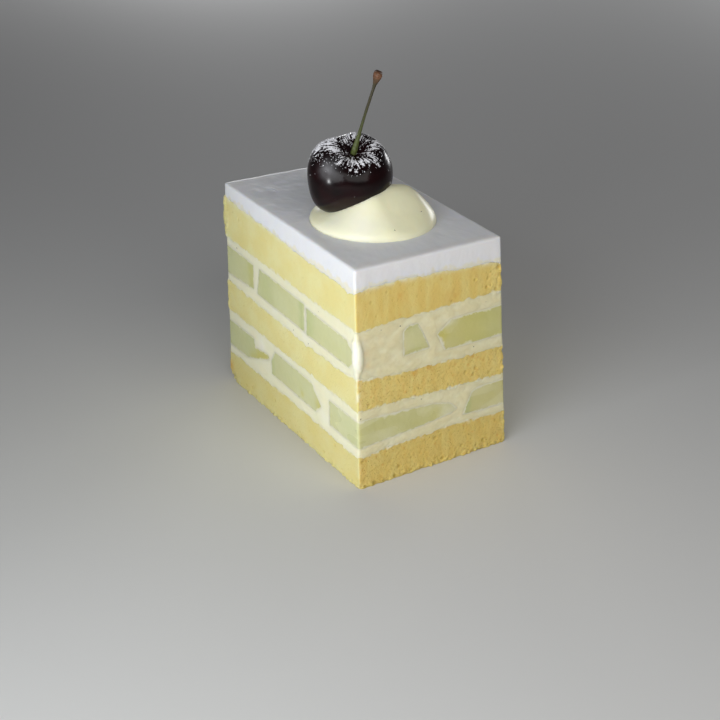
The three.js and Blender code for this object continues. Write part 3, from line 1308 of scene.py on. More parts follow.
@dataclass(frozen=True)
class Cut:
    """An outline on one face, pushed through a span behind it.

    Attributes:
        facing: The face that it is drawn on.
        outline: Its corners along that face and in height, anticlockwise.
        span: Where the push starts and ends.
    """

    facing: Facing
    outline: Outline
    span: Pair

    ROUNDING: float = 0.9
    STEPS: int = 4

    def grown(self, distance: float) -> Array:
        """The corners moved outwards by a distance.

        Args:
            distance: How far it is grown, in millimetres.

        Returns:
            The corners.
        """
        corners = np.array(self.outline)
        ahead = np.roll(corners, -1, axis=0) - corners
        normal = np.stack([ahead[:, 1], -ahead[:, 0]], axis=1)
        normal /= np.linalg.norm(normal, axis=1)[:, None]
        before = np.roll(normal, 1, axis=0)
        share = distance / (1 + (before * normal).sum(axis=1))
        return corners + (before + normal) * share[:, None]

    def rounded(self, distance: float) -> Array:
        """The grown outline with rounded corners.

        Args:
            distance: How far it is grown, in millimetres.

        Returns:
            The places of the outline.
        """
        corners = self.grown(distance)
        line = []
        for here, last, after in zip(corners, np.roll(corners, 1, axis=0), np.roll(corners, -1, axis=0)):
            ends = []
            for other in (last, after):
                away = other - here
                length = np.linalg.norm(away)
                ends.append(here + away / length * min(self.ROUNDING, length / 3))
            for t in np.linspace(0, 1, self.STEPS):
                line.append((1 - t) ** 2 * ends[0] + 2 * t * (1 - t) * here + t**2 * ends[1])
        return np.array(line)

    def solid(self, name: str, distance: float) -> Piece:
        """The outline pushed through its span, grown on every side.

        Args:
            name: The piece's name.
            distance: How far it is grown, in millimetres.

        Returns:
            The piece.
        """
        start, end = self.span[0] - distance, self.span[1] + distance
        if self.facing is Facing.FRONT:
            return prism(name, self.rounded(distance), (0, start, 0), (0, end - start, 0))
        return prism(name, self.rounded(distance), (start, 0, 0), (end - start, 0, 0))

    def outside(self, points: Array) -> Array:
        """How far places lie outside the cut; less than 0 inside it.

        Args:
            points: Places, one to a row.

        Returns:
            The distances in millimetres.
        """
        along, across = (0, 1) if self.facing is Facing.FRONT else (1, 0)
        seen = points[:, [along, 2]]
        corners = np.array(self.outline)
        nearest = np.full(len(points), 1e3)
        crossings = np.zeros(len(points), dtype=int)
        for start, end in zip(corners, np.roll(corners, -1, axis=0)):
            edge = end - start
            share = np.clip(((seen - start) @ edge) / (edge @ edge), 0, 1)
            nearest = np.minimum(nearest, np.linalg.norm(seen - start - share[:, None] * edge, axis=1))
            passed = (start[1] > seen[:, 1]) != (end[1] > seen[:, 1])
            rise = edge[1] if edge[1] else 1.0
            crossings += passed & (seen[:, 0] < start[0] + edge[0] * (seen[:, 1] - start[1]) / rise)
        around = np.where(crossings % 2 == 1, -nearest, nearest)
        deep = points[:, across]
        return np.max([around, self.span[0] - deep, deep - self.span[1]], axis=0)


def thin_inside(piece: Piece, depth: float) -> None:
    """Thin out the faces of a piece that lie deep inside the slice, where nothing shows.

    Args:
        piece: The piece.
        depth: How deep behind the faces of the slice the thinning starts.
    """
    mesh = piece.data
    middles = np.empty(len(mesh.polygons) * 3)
    mesh.polygons.foreach_get("center", middles)
    deep = FORM.depths(middles.reshape(-1, 3) / MM).min(axis=1) > depth
    activate(piece)
    bpy.ops.object.mode_set(mode="EDIT")
    bpy.ops.mesh.select_mode(type="FACE")
    bpy.ops.mesh.select_all(action="DESELECT")
    bpy.ops.object.mode_set(mode="OBJECT")
    mesh.polygons.foreach_set("select", deep)
    bpy.ops.object.mode_set(mode="EDIT")
    bpy.ops.mesh.decimate(ratio=0.08)
    bpy.ops.object.mode_set(mode="OBJECT")


@dataclass(frozen=True)
class Band:
    """A deeper green stretch across a melon piece: its place along the face, width and strength."""

    place: float
    width: float
    strength: float


@dataclass(frozen=True)
class Melon:
    """One piece of melon in a filling.

    Attributes:
        node: The solid that it stands for.
        cuts: The outlines whose common solid it is.
        bands: Its deeper green stretches, along the face of its first cut.
        stains: Warmer, browner places.
        veil: How much cream is dragged over it.
        creamy: Places where more cream is dragged over it.
    """

    node: str
    cuts: tuple[Cut, ...]
    bands: tuple[Band, ...] = ()
    stains: tuple[Spot, ...] = ()
    veil: float = 0.0
    creamy: tuple[Spot, ...] = ()

    VOXEL: float = 0.3
    GROWTH: float = 0.5
    SOLID_DEPTH: float = 2.5

    def solid(self, distance: float) -> Piece:
        """The piece before it is trimmed to the slice, grown on every side.

        Args:
            distance: How far it is grown, in millimetres.

        Returns:
            The piece.
        """
        piece = self.cuts[0].solid(self.node + "_flesh", distance)
        for other in self.cuts[1:]:
            cut(piece, other.solid("cutter", distance), "INTERSECT")
        return piece

    def outside(self, points: Array) -> Array:
        """How far places lie outside the piece; less than 0 inside it."""
        return np.max([one.outside(points) for one in self.cuts], axis=0)

    def make(self, block: Piece, finish: Material) -> Piece:
        """Trim the piece to a copy of the filling's block, soften it and dress it.

        Args:
            block: The filling's block.
            finish: Its finish.

        Returns:
            The piece.
        """
        piece = self.solid(self.GROWTH)
        trimming = block.copy()
        trimming.data = block.data.copy()
        bpy.context.scene.collection.objects.link(trimming)
        cut(piece, trimming, "INTERSECT")
        apply_modifier(piece, "REMESH", mode="VOXEL", voxel_size=self.VOXEL * MM)
        thin_inside(piece, self.SOLID_DEPTH)
        points = places(piece)
        seed = sum(self.cuts[0].outline[0])
        swell = 0.04 * cloud(points, 5.0, seed) + 0.02 * cloud(points, 1.4, seed)
        points = points + directions(piece) * swell[:, None]
        move_to(piece, points)
        self.colour(piece, points, seed)
        return present(piece, finish, "melon", self.node)

    def colour(self, piece: Piece, points: Array, seed: float) -> None:
        """Paint the greens, the browner places and the cream dragged over the edges.

        Args:
            piece: The piece.
            points: Places, one to a row.
            seed: Shifts the pattern.
        """
        along = points[:, 0 if self.cuts[0].facing is Facing.FRONT else 1]
        ragged = cloud(points, 3.0, seed + 4)
        side = on_side(FORM.depths(points))
        # Painted light: the side mask turns the short face golden in the finish
        paint(piece, "side", side)
        green = 0.22 + 0.06 * ragged
        for band in self.bands:
            green += band.strength * bell(along + 0.6 * ragged - band.place, band.width)
        paint(piece, "green", green)
        paint(piece, "stain", gathered(self.stains, points))
        inside = -self.outside(points)
        reach = np.clip(0.22 + (0.4 + 0.6 * side) * (1.1 * cloud(points, 2.2, seed + 6, 3)), 0.06, 3)
        rim = smooth(1.1 - inside / reach)
        streaks = cloud(points * np.array((0.6, 0.6, 1.6)), 6.0, seed + 9, 1)
        veil = (self.veil + 0.06 * side) * smooth(0.5 + 1.1 * streaks)
        smeared = gathered(self.creamy, points) * np.clip(0.8 + 0.8 * ragged, 0, 1.2)
        paint(piece, "film", np.maximum(0.8 * rim, veil + smeared))


@dataclass(frozen=True)
class Lump:
    """Cream squeezed out over a face: a ball stretched to its radii."""

    centre: Triple
    radii: Triple


@dataclass
class Filling:
    """A cream filling with its melon pieces.

    Attributes:
        name: The cream's name.
        node: The cream's solid.
        lower: The boundary under it.
        upper: The boundary over it.
        melons: The pieces of melon in it.
        lumps: Cream that is squeezed out over a face.
        stains: Juice and crumb dragged over the cream.
        brighter_patches: Brighter patches, mixed towards the cream's near-white colour.
        seed: Shifts its unevenness.
    """

    name: str
    node: str
    lower: Boundary
    upper: Boundary
    melons: tuple[Melon, ...]
    lumps: tuple[Lump, ...] = ()
    stains: tuple[Spot, ...] = ()
    brighter_patches: tuple[Spot, ...] = ()
    seed: float = 0.0

    VOXEL: float = 0.32
    OVERLAP: float = 1.2
    LAP: float = 0.35
    PROUD: float = 0.04
    COLUMNS: int = 480
    CAPS: Triple = (16.0, 6.0, 0.0)
    SOLID_DEPTH: float = 1.6

    def block(self, name: str, proud: float) -> Piece:
        """The filling as one block, with walls level with the faces of the slice or proud of them.

        Args:
            name: The piece's name.
            proud: How far it stands out, in millimetres.

        Returns:
            The piece.
        """
        caps = np.array(self.CAPS)
        share = np.concatenate([np.zeros(len(caps)), np.ones(len(caps))])
        inset = np.concatenate([caps, caps[::-1]])
        uv, facing = Ring(self.COLUMNS).walk()

        def place(column: Array, row: Array) -> Array:
            """Rings of the block's two caps.

            Args:
                column: The columns of the vertices.
                row: Their rows.

            Returns:
                The places.
            """
            shrink = 1 - inset[row][:, None] / np.array(Ring.half)
            u, v = (uv[column] * shrink).T
            guess = FORM.plan(u, v, np.full_like(u, 30.0))
            flat = np.column_stack([guess, np.zeros(len(u))])
            smear = 0.3 * cloud(flat, 2.0, self.seed + 20, 3)
            low = self.lower.height(*guess.T) - self.OVERLAP - smear
            high = self.upper.height(*guess.T) + self.OVERLAP + smear
            z = low + (high - low) * share[row]
            return np.column_stack([FORM.plan(u, v, z) + facing[column] * proud, z])

        return loft(name, self.COLUMNS, len(share), place)

    def make(self, cream: Material, flesh: Material) -> None:
        """Build and dress the cream and each piece of melon.

        Args:
            cream: The cream's finish.
            flesh: The melon's finish.
        """
        piece = self.block(self.name, self.PROUD)
        pockets = [melon.solid(-self.LAP) for melon in self.melons]
        cut(piece, joined(pockets, "pockets"), "DIFFERENCE")
        extras = [self.lump(one) for one in self.lumps]
        piece = joined([piece, *extras], self.name)
        apply_modifier(piece, "REMESH", mode="VOXEL", voxel_size=self.VOXEL * MM)
        apply_modifier(piece, "SMOOTH", factor=0.5, iterations=3)
        thin_inside(piece, self.SOLID_DEPTH)
        self.spread(piece)
        present(piece, cream, "filling_cream", self.node)
        trimming = self.block("trimming", 0.0)
        for melon in self.melons:
            melon.make(trimming, flesh)
        bpy.data.objects.remove(trimming)

    def lump(self, lump: Lump) -> Piece:
        """A ball of cream, stretched where it is squeezed out.

        Args:
            lump: Its sizes.

        Returns:
            The ball.
        """
        bpy.ops.object.select_all(action="DESELECT")
        bpy.ops.mesh.primitive_uv_sphere_add(segments=32, ring_count=16, radius=1.0)
        piece = bpy.context.active_object
        points = places(piece) * MM
        move_to(piece, points * np.array(lump.radii) + np.array(lump.centre))
        return piece

    def spread(self, piece: Piece) -> None:
        """Make the cream's faces softly uneven, and paint what the finish reads.

        Args:
            piece: The piece.
        """
        points = places(piece)
        depths = FORM.depths(points)
        wall = smooth((1.2 - depths.min(axis=1)) / 0.8)
        side = on_side(depths)
        uneven = 0.07 * cloud(points, 4.0, self.seed) + 0.045 * cloud(points, 1.3, self.seed + 2, 3)
        smeared = side * cloud(points * np.array((1, 1, 1.6)), 3.4, self.seed + 7, 3)
        uneven += 0.11 * smeared
        low = self.lower.height(points[:, 0], points[:, 1])
        high = self.upper.height(points[:, 0], points[:, 1])
        within = np.minimum(points[:, 2] - low, high - points[:, 2])
        away = np.min([melon.outside(points) for melon in self.melons], axis=0)
        uneven *= 1 - 0.8 * smooth((1.2 - away) / 1.0)
        lap = np.clip(0.3 + 1.0 * cloud(points, 3.2, self.seed + 30, 3), 0.0, 0.8)
        uneven -= (self.PROUD + 0.08) * smooth((0.1 - within - lap) / 0.6)
        uneven -= (self.PROUD + 0.05) * smooth((0.7 - away) / 0.8)
        points = points + directions(piece) * (wall * uneven)[:, None]
        move_to(piece, points)
        # Painted light and shade: the side mask gives the short face the cream's warmer side colour
        paint(piece, "side", side * np.clip(0.85 + 0.5 * smeared, 0, 1))
        paint(piece, "stain", gathered(self.stains, points))
        paint(piece, "bright", gathered(self.brighter_patches, points))


# ---- the cream top


@dataclass
class CreamTop:
    """The smooth white cream on top, with crisp cut edges and a few palette marks."""

    name: str = "top_cream_layer"
    node: str = "cream_top"
    columns: int = 800
    walls: int = 18
    rings: int = 44
    caps: Triple = (9.0, 3.0, 1.0)
    edge: float = 0.55
    proud: float = 0.06
    overlap: float = 0.5
    marks: tuple[Spot, ...] = (
        Spot((-24.9, -14.6, 66.8), 0.8, 0.55),
        Spot((-25.6, -19.0, 66.8), 0.9, 0.2),
        Spot((-13.5, -21.0, 66.8), 1.1, 0.22),
        Spot((-29.0, 3.0, 66.5), 1.6, 0.15),
    )

    def make(self, finish: Material) -> Piece:
        """Build and dress the layer.

        Args:
            finish: Its finish.

        Returns:
            The piece.
        """
        below = np.array(self.caps)
        over = np.linspace(0, 1, self.rings + 1)[1:] * 0.985
        share = np.concatenate([np.zeros(len(below)), np.linspace(0, 1, self.walls), np.ones(self.rings)])
        shrink = np.concatenate([1 - below / 24, np.ones(self.walls), 1 - over])
        uv, facing = Ring(self.columns, rounding=0.5).walk()

        def place(column: Array, row: Array) -> Array:
            """Rings up the wall and then in over the top.

            Args:
                column: The columns of the vertices.
                row: Their rows.

            Returns:
                The places.
            """
            u, v = (uv[column] * shrink[row][:, None]).T
            guess = FORM.plan(u, v, np.full_like(u, 63.0))
            flat = np.column_stack([guess, np.zeros(len(u))])
            low = TOP_SPONGE_TOP.height(*guess.T) - self.overlap - 0.45 * cloud(flat, 1.5, 15.0, 3)
            high = CROWN.height(*guess.T)
            z = low + (high - low) * share[row]
            plan = FORM.plan(u, v, z)
            drop = np.where(share[row] < 1, high - z, 0)
            inward = np.where(shrink[row] < 1, (1 - shrink[row]) * Ring.half[1], 0)
            held_up = np.clip(drop / self.edge, 0, 1)
            held_in = np.clip(inward / self.edge, 0, 1)
            back = self.edge * 0.3 * (1 - held_up) ** 2
            sink = self.edge * 0.3 * (1 - held_in) ** 2 * (share[row] == 1)
            sunk = (self.proud + 0.1) * smooth((0.6 - (z - low)) / 0.6)
            out = np.where(shrink[row] == 1, self.proud - back - sunk, 0)
            return np.column_stack([plan + facing[column] * out[:, None], z - sink])

        piece = loft(self.name, self.columns, len(share), place)
        self.work(piece)
        return present(piece, finish, "top_cream", self.node)

    def work(self, piece: Piece) -> None:
        """Leave the traces of the palette and the knife, and paint what the finish reads.

        Args:
            piece: The piece.
        """
        points = places(piece)
        depths = FORM.depths(points)
        normals = directions(piece)
        top = smooth((normals[:, 2] - 0.5) / 0.4)
        wall = 1 - smooth(np.abs(normals[:, 2]) / 0.6)
        stroke = cloud(points * np.array((0.35, 1.0, 1.0)), 5.0, 2.0, 2)
        lift = top * (0.06 * stroke + 0.01 * cloud(points, 1.4, 4.0))
        for mark in self.marks:
            away = (points - np.array(mark.centre)) * np.array((0.55, 1.0, 0.3))
            away[:, 1] += 0.5 * cloud(points, 2.2, 7.0)
            lift += top * mark.strength * bell(np.linalg.norm(away, axis=1), mark.radius)
        strokes = 0.06 * cloud(points * np.array((1, 1, 0.4)), 3.0, 5.0) + 0.03 * cloud(points, 1.0, 6.0)
        points = points + normals * (lift + wall * strokes)[:, None]
        move_to(piece, points)
        above = points[:, 2] - TOP_SPONGE_TOP.level(points[:, 0], points[:, 1])
        # Painted light: the side mask gives the short face a warmer colour
        paint(piece, "side", on_side(depths))
        juice = np.clip(0.45 - 0.55 * above + 0.8 * cloud(points, 1.8, 12.0), 0, 0.5)
        paint(piece, "stain", wall * juice)


# ---- the toppings


@dataclass
class Cherry:
    """A dark cherry: a squashed ball with a dimple and a seam, leaning in the cream.

    SWELLS lists where its skin is fuller or flatter: the direction, how far and how widely.
    """

    centre: Triple = (4.96, -5.37, 79.2)
    radius: float = 11.97
    squash: float = 0.93
    taper: float = 0.03
    dimple: float = 3.8
    dimple_spread: float = 0.42
    groove: float = 0.05
    groove_spread: float = 0.3
    groove_turn: float = -20.0
    notch: float = 1.0
    lean: float = 23.0
    heading: float = -9.0
    columns: int = 352
    rows: int = 220

    SETTLED: Triple = (-0.25, 0.12, 0.96)
    # Painted sheen: the middle of a faint grey veil painted beside the cherry's highlight
    SHEEN_CENTRE: Triple = (9.5, -15.2, 84.2)
    SWELLS: tuple[tuple[Triple, float, float], ...] = (
        ((-0.064, -0.782, -0.619), 1.35, 0.40),
        ((-0.552, -0.034, 0.833), -1.4, 0.33),
    )

    def shape(self, angle: Array, turn: Array, distance: float = 0.0) -> Array:
        """Places on the skin, grown by a distance, at an angle from the stem and a turn round it.

        Args:
            angle: Angles from the stem.
            turn: Turns round it.
            distance: How far it is grown, in millimetres.

        Returns:
            The places.
        """
        away = (turn - math.radians(self.groove_turn) + math.pi) % TURN - math.pi
        seam = self.groove * bell(away, self.groove_spread) * np.sin(angle)
        width = (self.radius + distance) * (1 - self.taper * (1 - np.cos(angle)) / 2) * (1 - seam)
        height = (self.radius + distance) * self.squash * np.cos(angle)
        height = height - self.dimple * bell(angle, self.dimple_spread)
        height = height - self.notch * bell(away, 0.45) * bell(angle - 0.55, 0.28)
        across = width * np.sin(angle)
        local = np.stack([across * np.cos(turn), across * np.sin(turn), height], axis=-1)
        placed = local @ np.array(self.pose()).T
        out = placed / np.linalg.norm(placed, axis=-1, keepdims=True)
        for towards, rise, spread in self.SWELLS:
            away = np.arccos(np.clip(out @ np.array(towards), -1, 1))
            placed = placed + out * (rise * bell(away, spread))[..., None]
        return placed + np.array(self.centre)

    def pose(self) -> Matrix:
        """The turn that leans the cherry in the cream."""
        lean = Matrix.Rotation(math.radians(self.lean), 3, "Y")
        return Matrix.Rotation(math.radians(self.heading), 3, "Z") @ lean

    def foot_of_stem(self) -> Vector:
        """The bottom of the dimple."""
        height = self.radius * self.squash - self.dimple
        return Vector(self.centre) + self.pose() @ Vector((0, 0, height))

    def skin(self, name: str, columns: int, rows: int, distance: float) -> Piece:
        """The bare skin as a closed piece.

        Args:
            name: The piece's name.
            columns: Vertices in a ring.
            rows: Number of rings.
            distance: How far it is grown, in millimetres.

        Returns:
            The piece.
        """
        spread = np.linspace(math.pi * 0.995, 0.012, rows)

        def place(column: Array, row: Array) -> Array:
            """Rings from under the cherry up into its dimple."""
            return self.shape(spread[row], column / columns * TURN, distance)

        return loft(name, columns, rows, place)

    def make(self, finish: Material) -> Piece:
        """Build the cherry, drift sugar over it and dress it.

        Args:
            finish: Its finish.

        Returns:
            The piece.
        """
        piece = self.skin("cherry_fruit", self.columns, self.rows, 0.0)
        points = places(piece)
        normals = directions(piece)
        powder_and_sheen = self.powder_and_sheen(points, normals)
        relief = 0.12 * powder_and_sheen + 0.05 * cloud(points, 4.5, 3.0)
        move_to(piece, points + normals * relief[:, None])
        # The mask carries the sugar drifts and the painted sheen beside the highlight
        paint(piece, "powder_and_sheen", powder_and_sheen)
        return present(piece, finish, "cherry_skin", "cherry")

    def around(self, points: Array) -> tuple[Array, Array]:
        """The angle from the stem and the turn round it of places.

        Args:
            points: Places, one to a row.

        Returns:
            The angles and the turns.
        """
        local = (points - np.array(self.centre)) @ np.array(self.pose())
        angle = np.arctan2(np.hypot(local[:, 0], local[:, 1]), local[:, 2] + self.dimple * 0.2)
        return angle, np.arctan2(local[:, 1], local[:, 0])

    def cover(self, points: Array, normals: Array) -> Array:
        """How much sugar lies at places: most round the dimple and towards -Y, none on the flanks.

        Args:
            points: Places, one to a row.
            normals: The outward directions there.

        Returns:
            The amounts, from 0 to about 1.
        """
        angle, _ = self.around(points)
        settled = smooth((normals @ np.array(self.SETTLED) - 0.12) / 0.72)
        inside = smooth((angle - 0.22) / 0.2)
        towards = (points[:, 1] - self.centre[1]) / self.radius
        return settled * (0.25 + 0.75 * inside) * np.clip(0.84 - 0.26 * towards, 0, 1.2)

    def powder_and_sheen(self, points: Array, normals: Array) -> Array:
        """Streaky drifts of sugar that run down from the dimple, and a faint veil of painted sheen beside the
        highlight.

        Args:
            points: Places, one to a row.
            normals: The outward directions there.

        Returns:
            The thickness from 0 to 1.
        """
        angle, turn = self.around(points)
        streaks = np.stack([np.cos(turn) * 15, np.sin(turn) * 15, angle * 4.8], axis=1)
        drifts = 1.1 * cloud(streaks, 1.15, 2.0, 3) + 0.6 * cloud(points, 2.8, 5.0, 2)
        drifts += 0.5 * cloud(points, 0.6, 6.0, 2)
        # Painted sheen: a faint veil of the sugar colour beside the highlight
        sheen_distance = np.linalg.norm(points - np.array(self.SHEEN_CENTRE), axis=1)
        sheen_veil = 0.17 * bell(sheen_distance, 2.2) * (1 + 0.4 * cloud(points, 1.5, 9.0))
        return np.maximum(smooth((drifts + 1.45 * self.cover(points, normals) - 1.2) / 0.35), sheen_veil)


@dataclass
class Dollop:
    """The dollop of vanilla cream that holds the cherry: low under it, with a soft crest beside it, and its
    lit front painted near-white as painted light.
    """

    centre: Pair = (9.0, -0.7)
    radius: float = 17.7
    squareness: float = 2.2
    low: float = 4.35
    crest: float = 11.6
    crest_start: Pair = (14.35, 7.1)
    crest_end: Pair = (14.5, -4.0)
    spread: float = 8.2
    sunk: float = 0.15
    columns: int = 240
    rows: int = 100
    # Painted light: these patches paint the lit front of the dollop near-white, as a painted highlight
    brighter_patches: tuple[Spot, ...] = (Spot((19.5, -10.5, 69.5), 6.0, 0.6), Spot((12.0, -15.0, 68.5), 4.0, 0.4))

    def height(self, x: Array, y: Array) -> Array:
        """Height before the lip rounds off, over plan places.

        Args:
            x: Places along the long face.
            y: Places along the short face.

        Returns:
            The heights.
        """
        here = np.stack([x, y], axis=-1)
        start, end = np.array(self.crest_start), np.array(self.crest_end)
        along = end - start
        share = np.clip(((here - start) @ along) / (along @ along), 0, 1)
        away = np.linalg.norm(here - start - share[..., None] * along, axis=-1)
        return self.low + (self.crest - self.low) * bell(away, self.spread)

    def make(self, cherry: Cherry, finish: Material) -> Piece:
        """Build the dollop, press the cherry's seat into it and dress it.

        Args:
            cherry: The cherry.
            finish: Its finish.

        Returns:
            The piece.
        """

        def place(column: Array, row: Array) -> Array:
            """Rings from the middle of the foot out to the lip and in over the top.

            Args:
                column: The columns of the vertices.
                row: Their rows.

            Returns:
                The places.
            """
            angle = np.linspace(math.pi * 0.99, 0.01, self.rows)[row]
            turn = column / self.columns * TURN
            over = angle < math.pi / 2
            power = 2 / self.squareness
            out = np.where(over, np.sin(angle) ** power, np.sin(angle))
            up = np.where(over, np.clip(np.cos(angle), 0, 1) ** power, 0)
            x = self.centre[0] + self.radius * out * np.cos(turn)
            y = self.centre[1] + self.radius * out * np.sin(turn)
            return np.column_stack([x, y, CROWN.level(x, y) - self.sunk + up * self.height(x, y)])

        piece = loft("vanilla_dollop", self.columns, self.rows, place)
        points = places(piece)
        uneven = 0.16 * cloud(points, 9.0, 2.5) + 0.03 * cloud(points, 2.5, 3.5)
        move_to(piece, points + directions(piece) * uneven[:, None])
        cut(piece, cherry.skin("seat", 96, 60, -0.08), "DIFFERENCE")
        points = places(piece)
        paint(piece, "side", np.zeros(len(points)))
        paint(piece, "stain", np.zeros(len(points)))
        # Painted light: the bright mask paints the dollop's lit front near-white
        paint(piece, "bright", gathered(self.brighter_patches, points))
        return present(piece, finish, "dollop_cream", "dollop")


@dataclass
class Stem:
    """The cherry's stalk: wide at its root, thin along its length, with a knob at its end."""

    middle: Triple = (4.3, 2.0, 13.6)
    top: Triple = (7.9, 3.6, 24.2)
    radius: float = 0.40
    root_radius: float = 0.9
    root_share: float = 1 / 6
    knob_radius: float = 1.25
    knob_length: float = 2.8
    columns: int = 24
    rows: int = 90

    def make(self, cherry: Cherry, finish: Material) -> Piece:
        """Build and dress the stalk.

        Args:
            cherry: The cherry.
            finish: Its finish.

        Returns:
            The piece.
        """
        foot = np.array(cherry.foot_of_stem())
        middle, top = foot + np.array(self.middle), foot + np.array(self.top)
        share = np.linspace(0, 1, self.rows)
        bend = 2 * middle - (foot + top) / 2
        line = (
            ((1 - share) ** 2)[:, None] * foot
            + (2 * share * (1 - share))[:, None] * bend
            + (share**2)[:, None] * top
        )
        length = float(np.linalg.norm(np.diff(line, axis=0), axis=1).sum())
        ahead = np.gradient(line, axis=0)
        ahead /= np.linalg.norm(ahead, axis=1)[:, None]
        across = np.cross(ahead, (0.0, 1.0, 0.0))
        across /= np.linalg.norm(across, axis=1)[:, None]
        deep = np.cross(ahead, across)
        run = share * length
        radius = self.radius + (self.root_radius - self.radius) * bell(run, length * self.root_share)
        before_knob = length - self.knob_length / 3 - run
        radius += (self.knob_radius - self.radius) * bell(before_knob, self.knob_length)

        def place(column: Array, row: Array) -> Array:
            """Rings along the stalk, slightly ribbed and flattened.

            Args:
                column: The columns of the vertices.
                row: Their rows.

            Returns:
                The places.
            """
            turn = column / self.columns * TURN
            ribbed = radius[row] * (1 + 0.06 * np.sin(5 * turn + 0.1 * row) + 0.05 * np.sin(1.7 * row))
            side = across[row] * (ribbed * np.cos(turn))[:, None]
            front = deep[row] * (ribbed * np.sin(turn) * 0.9)[:, None]
            return line[row] + side + front

        piece = loft("cherry_stalk", self.columns, self.rows, place)
        points = places(piece)
        rise = (points - foot) @ (top - foot) / ((top - foot) @ (top - foot))
        paint(piece, "along", rise)
        return present(piece, finish, "cherry_stem", "cherry_stem")


# ---- grains


def scattered(name: str, lump: Array, faces: Array, spots: Sequence[Matrix]) -> Piece:
    """Copies of a small lump, joined into one piece.

    Args:
        name: The piece's name.
        lump: The vertices of one lump.
        faces: Its triangles.
        spots: Where each copy goes, how it is turned and how large it is.

    Returns:
        The piece.
    """
    turns = np.array([np.array(spot) for spot in spots])
    flat = np.column_stack([lump, np.ones(len(lump))])
    points = np.einsum("nij,vj->nvi", turns, flat)[:, :, :3].reshape(-1, 3)
    shifted = (faces[None] + (np.arange(len(spots)) * len(lump))[:, None, None]).reshape(-1, 3)
    mesh = bpy.data.meshes.new(name)
    mesh.from_pydata((points * MM).tolist(), [], shifted.tolist())
    piece = bpy.data.objects.new(name, mesh)
    bpy.context.scene.collection.objects.link(piece)
    return piece


def lump_mesh(seed: float) -> tuple[Array, Array]:
    """One small uneven lump: its vertices, about 1 across the radius, and its triangles.

    Args:
        seed: Shifts its unevenness.

    Returns:
        The vertices and the triangles.
    """
    bpy.ops.object.select_all(action="DESELECT")
    bpy.ops.mesh.primitive_ico_sphere_add(subdivisions=1, radius=1.0)
    lump = bpy.context.active_object
    points = places(lump) * MM
    points = points * (1 + 0.35 * cloud(points, 0.9, seed))[:, None]
    faces = np.array([tuple(face.vertices) for face in lump.data.polygons])
    bpy.data.objects.remove(lump)
    return points, faces


@dataclass
class SugarGrains:
    """Loose grains of powdered sugar that stand on the drifts over the cherry."""

    tries: int = 22000
    smallest: float = 0.05
    largest: float = 0.14
    seed: int = 11

    def make(self, cherry: Cherry, finish: Material) -> Piece:
        """Drop grains on the skin, more where the drifts are.

        Args:
            cherry: The cherry.
            finish: Its finish.

        Returns:
            The piece.
        """
        draw = np.random.default_rng(self.seed)
        angle = np.arccos(draw.uniform(-0.15, 0.999, self.tries))
        turn = draw.uniform(0, TURN, self.tries)
        points = cherry.shape(angle, turn)
        step = 0.01
        down = cherry.shape(angle + step, turn) - points
        round_it = cherry.shape(angle, turn + step) - points
        normals = np.cross(down, round_it)
        normals /= np.linalg.norm(normals, axis=1)[:, None]
        down /= np.linalg.norm(down, axis=1)[:, None]
        powder_and_sheen = cherry.powder_and_sheen(points, normals)
        wanted = 0.13 * cherry.cover(points, normals) * (1 - powder_and_sheen) + 0.42 * powder_and_sheen * (powder_and_sheen > 0.3)
        kept = draw.uniform(0, 1, self.tries) < wanted
        size = self.smallest + (self.largest - self.smallest) * draw.uniform(0, 1, self.tries) ** 2.5
        spots = []
        for i in np.flatnonzero(kept):
            across = np.cross(normals[i], down[i])
            basis = np.column_stack([down[i] * size[i] * 1.7, across * size[i], normals[i] * size[i] * 0.7])
            spot = Matrix(basis.tolist()).to_4x4()
            spot.translation = Vector(points[i] + normals[i] * 0.12)
            spots.append(spot)
        lump, faces = lump_mesh(3.0)
        return present(scattered("sugar_grains", lump, faces, spots), finish, "sugar")


